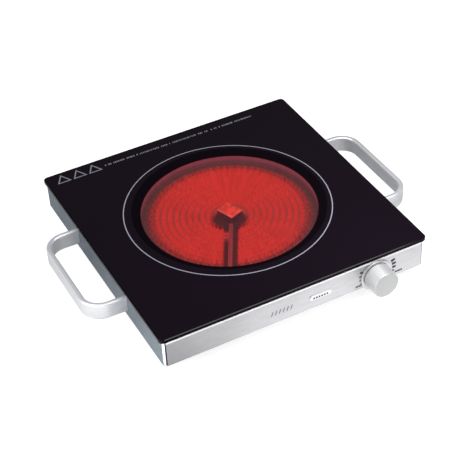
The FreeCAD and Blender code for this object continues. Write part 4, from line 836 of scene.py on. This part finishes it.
def glass_material():
    """Black gloss with printed marks and black edge faces that show no reflection; Alpha falls over the
    heated zone.
    """
    material, tree, shader = new_material("glass_ceramic", GLASS_BLACK, 0.0, GLOSS)
    shader.inputs["IOR"].default_value = 1.5
    shader.inputs["Specular IOR Level"].default_value = 0.3
    vector, x, y, z = object_split(tree)
    distance, height, _, _ = spokes(tree, vector, PLATE)
    from_heater = spokes(tree, vector)[0]
    plate_x = calculated(tree, "DIVIDE", calculated(tree, "SUBTRACT", x, PLATE.x), MM)
    plate_y = calculated(tree, "DIVIDE", calculated(tree, "SUBTRACT", y, PLATE.y), MM)
    ring = line_mask(tree, calculated(tree, "SUBTRACT", distance, RING_RADIUS), RING_WIDTH)
    triangles = triangle_mask(tree, plate_x, plate_y)
    marks = calculated(tree, "MAXIMUM", triangles, bar_mask(tree, plate_x, plate_y))
    faded = calculated(tree, "MULTIPLY", marks, PRINT_COVER)
    on_top = calculated(tree, "GREATER_THAN", height, -0.1)
    printed = calculated(tree, "MULTIPLY", calculated(tree, "MAXIMUM", ring, faded), on_top)
    tree.links.new(mixed(tree, printed, (*GLASS_BLACK, 1.0), PRINT_GREY), shader.inputs["Base Color"])
    tree.links.new(ranged(tree, printed, 0.0, 1.0, GLOSS, PRINT_ROUGH), shader.inputs["Roughness"])
    # Edge faces are set metallic on the black colour, so they show no reflection.
    side_bevel = calculated(tree, "GREATER_THAN", calculated(tree, "ABSOLUTE", plate_x), SIDE_BEVEL)
    black_edge = calculated(tree, "MAXIMUM", side_bevel, calculated(tree, "LESS_THAN", height, BLACK_EDGE_BELOW))
    tree.links.new(black_edge, shader.inputs["Metallic"])
    flare = calculated(tree, "MULTIPLY", calculated(tree, "ADD", height, 4.0), CLEAR_FLARE)
    past_edge = calculated(tree, "SUBTRACT", calculated(tree, "SUBTRACT", from_heater, CLEAR_RADIUS), flare)
    tree.links.new(ranged(tree, past_edge, -0.5, 0.5, CLEAR_ALPHA, 1.0), shader.inputs["Alpha"])
    return material


finish(glass_material(), "glass_plate")
black_silicone = moulded("black_silicone", light=(0.02, 0.02, 0.02), dark=(0.01, 0.01, 0.01),
                         smooth=0.5, rough=0.7)
finish(black_silicone, "glass_seal")

# ------------------------------------------------------------------ knob, bezel and bright plate
# The knob is turned aluminium, satin all over, on the D-shaped end of a polished steel shaft.  Behind
# it is a flat turned steel ring, and beside it a small polished plate with round ends.
polished_steel = brushed_metal("polished_steel", light=(0.80, 0.81, 0.83), dark=(0.68, 0.69, 0.71),
                               smooth=0.28, rough=0.40, stretch=(150.0, 150.0, 150.0))
finish(polished_steel, "nameplate", "regulator_shaft")
turned_steel = brushed_metal("turned_steel", light=(0.64, 0.64, 0.66), dark=(0.50, 0.50, 0.52),
                             smooth=0.26, rough=0.40, stretch=(400.0, 400.0, 400.0), metallic=0.8)
finish(turned_steel, "knob_bezel")
satin_knob = brushed_metal("satin_knob", light=(0.56, 0.56, 0.56), dark=(0.43, 0.43, 0.43),
                           smooth=0.36, rough=0.5, stretch=(700.0, 20.0, 700.0),
                           bump_distance=0.000002, metallic=0.45)
finish(satin_knob, "knob")

# ------------------------------------------------------------------ marks on the front panel
# Screen-printed ink: steps of several sizes at both sides of the knob, two plain legends under them,
# even bars on the bright plate, and a plain slanted mark in the middle of the panel.
DIAL = Vector((86.3 * MM, 0.0, PLATE.z - 20.7 * MM))
DIAL_RADIUS = 19.0 * MM
LEFT_STEPS = (159.5, 173.5, 187.5, 201.5)
RIGHT_STEPS = (22.5, 9.0, -4.5, -18.0)
LEFT_SIZES = (3.4 * MM, 2.7 * MM, 2.4 * MM, 2.0 * MM)
RIGHT_SIZES = (4.5 * MM, 4.3 * MM, 4.0 * MM, 2.7 * MM)
STEP_SHAPE = 0.72
STEP_TAPER = 0.8
LEGENDS = ((-23.2 * MM, 4), (20.8 * MM, 5))
LEGEND_DROP = -8.8 * MM
LEGEND_PITCH = 1.7 * MM
LEGEND_WIDTH = 1.3 * MM
LEGEND_HEIGHT = 2.1 * MM
PLATE_BARS = 6
PLATE_BAR_PITCH = 2.9 * MM
PLATE_BAR_WIDTH = 1.9 * MM
PLATE_BAR_HEIGHT = 2.2 * MM
PLATE_BAR_RISE = 1.9 * MM
MARK = Vector((-28.0 * MM, 0.0, PLATE.z - 21.5 * MM))
STROKES = 6
STROKE_PITCH = 4.1 * MM
STROKE_WIDTH = 1.3 * MM
STROKE_HEIGHT = 5.0 * MM
STROKE_LEAN = 0.35
INK = 0.04 * MM


def ink_patch(bm, middle, width, height, turn=0.0, lean=0.0, narrow=1.0, face=panel_low.y):
    """Four-sided patch of ink on an upright face; lean slants it and narrow tapers its right end."""
    outline = [(-0.5, -0.5), (0.5, -0.5 * narrow), (0.5, 0.5 * narrow), (-0.5, 0.5)]
    spin = Matrix.Rotation(turn, 2)
    corners = []
    for along, up in outline:
        x, z = spin @ Vector((along * width + up * height * lean, up * height))
        corners.append(bm.verts.new((middle.x + x, face, middle.z + z)))
    patch = bm.faces.new(corners)
    raised = bmesh.ops.extrude_face_region(bm, geom=[patch])["geom"]
    points = [item for item in raised if isinstance(item, bmesh.types.BMVert)]
    bmesh.ops.translate(bm, verts=points, vec=(0.0, -INK, 0.0))


def panel_marks():
    """Steps and legends of the dial, and the bars on the bright plate, in one thin mesh."""
    bm = bmesh.new()
    for degrees, size in zip(LEFT_STEPS + RIGHT_STEPS, LEFT_SIZES + RIGHT_SIZES):
        angle = math.radians(degrees)
        middle = DIAL + Vector((math.cos(angle), 0.0, math.sin(angle))) * DIAL_RADIUS
        ink_patch(bm, middle, size, size * STEP_SHAPE, turn=angle, narrow=STEP_TAPER)
    for start, count in LEGENDS:
        for place in range(count):
            middle = DIAL + Vector((start + place * LEGEND_PITCH, 0.0, LEGEND_DROP))
            ink_patch(bm, middle, LEGEND_WIDTH, LEGEND_HEIGHT)
    plate_low, plate_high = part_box("nameplate")
    for place in range(PLATE_BARS):
        across = (place - (PLATE_BARS - 1) / 2) * PLATE_BAR_PITCH
        middle = Vector(((plate_low.x + plate_high.x) / 2 + across, 0.0, plate_low.z + PLATE_BAR_RISE))
        ink_patch(bm, middle, PLATE_BAR_WIDTH, PLATE_BAR_HEIGHT, face=plate_low.y)
    bmesh.ops.recalc_face_normals(bm, faces=bm.faces)
    return mesh_object("panel_print", bm)


def slanted_mark():
    """Row of slanted strokes in paler ink, which stand for nothing."""
    bm = bmesh.new()
    for place in range(STROKES):
        middle = MARK + Vector((place * STROKE_PITCH, 0.0, 0.0))
        ink_patch(bm, middle, STROKE_WIDTH, STROKE_HEIGHT, lean=STROKE_LEAN)
    bmesh.ops.recalc_face_normals(bm, faces=bm.faces)
    return mesh_object("panel_mark", bm)


marks = panel_marks()
marks.data.materials.append(moulded("black_ink", light=(0.006, 0.006, 0.007), dark=(0.003, 0.003, 0.004),
                                    smooth=0.5, rough=0.7))
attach(marks, "housing")
mark = slanted_mark()
mark.data.materials.append(moulded("grey_ink", light=(0.16, 0.16, 0.17), dark=(0.11, 0.11, 0.12),
                                   smooth=0.4, rough=0.6))
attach(mark, "housing")
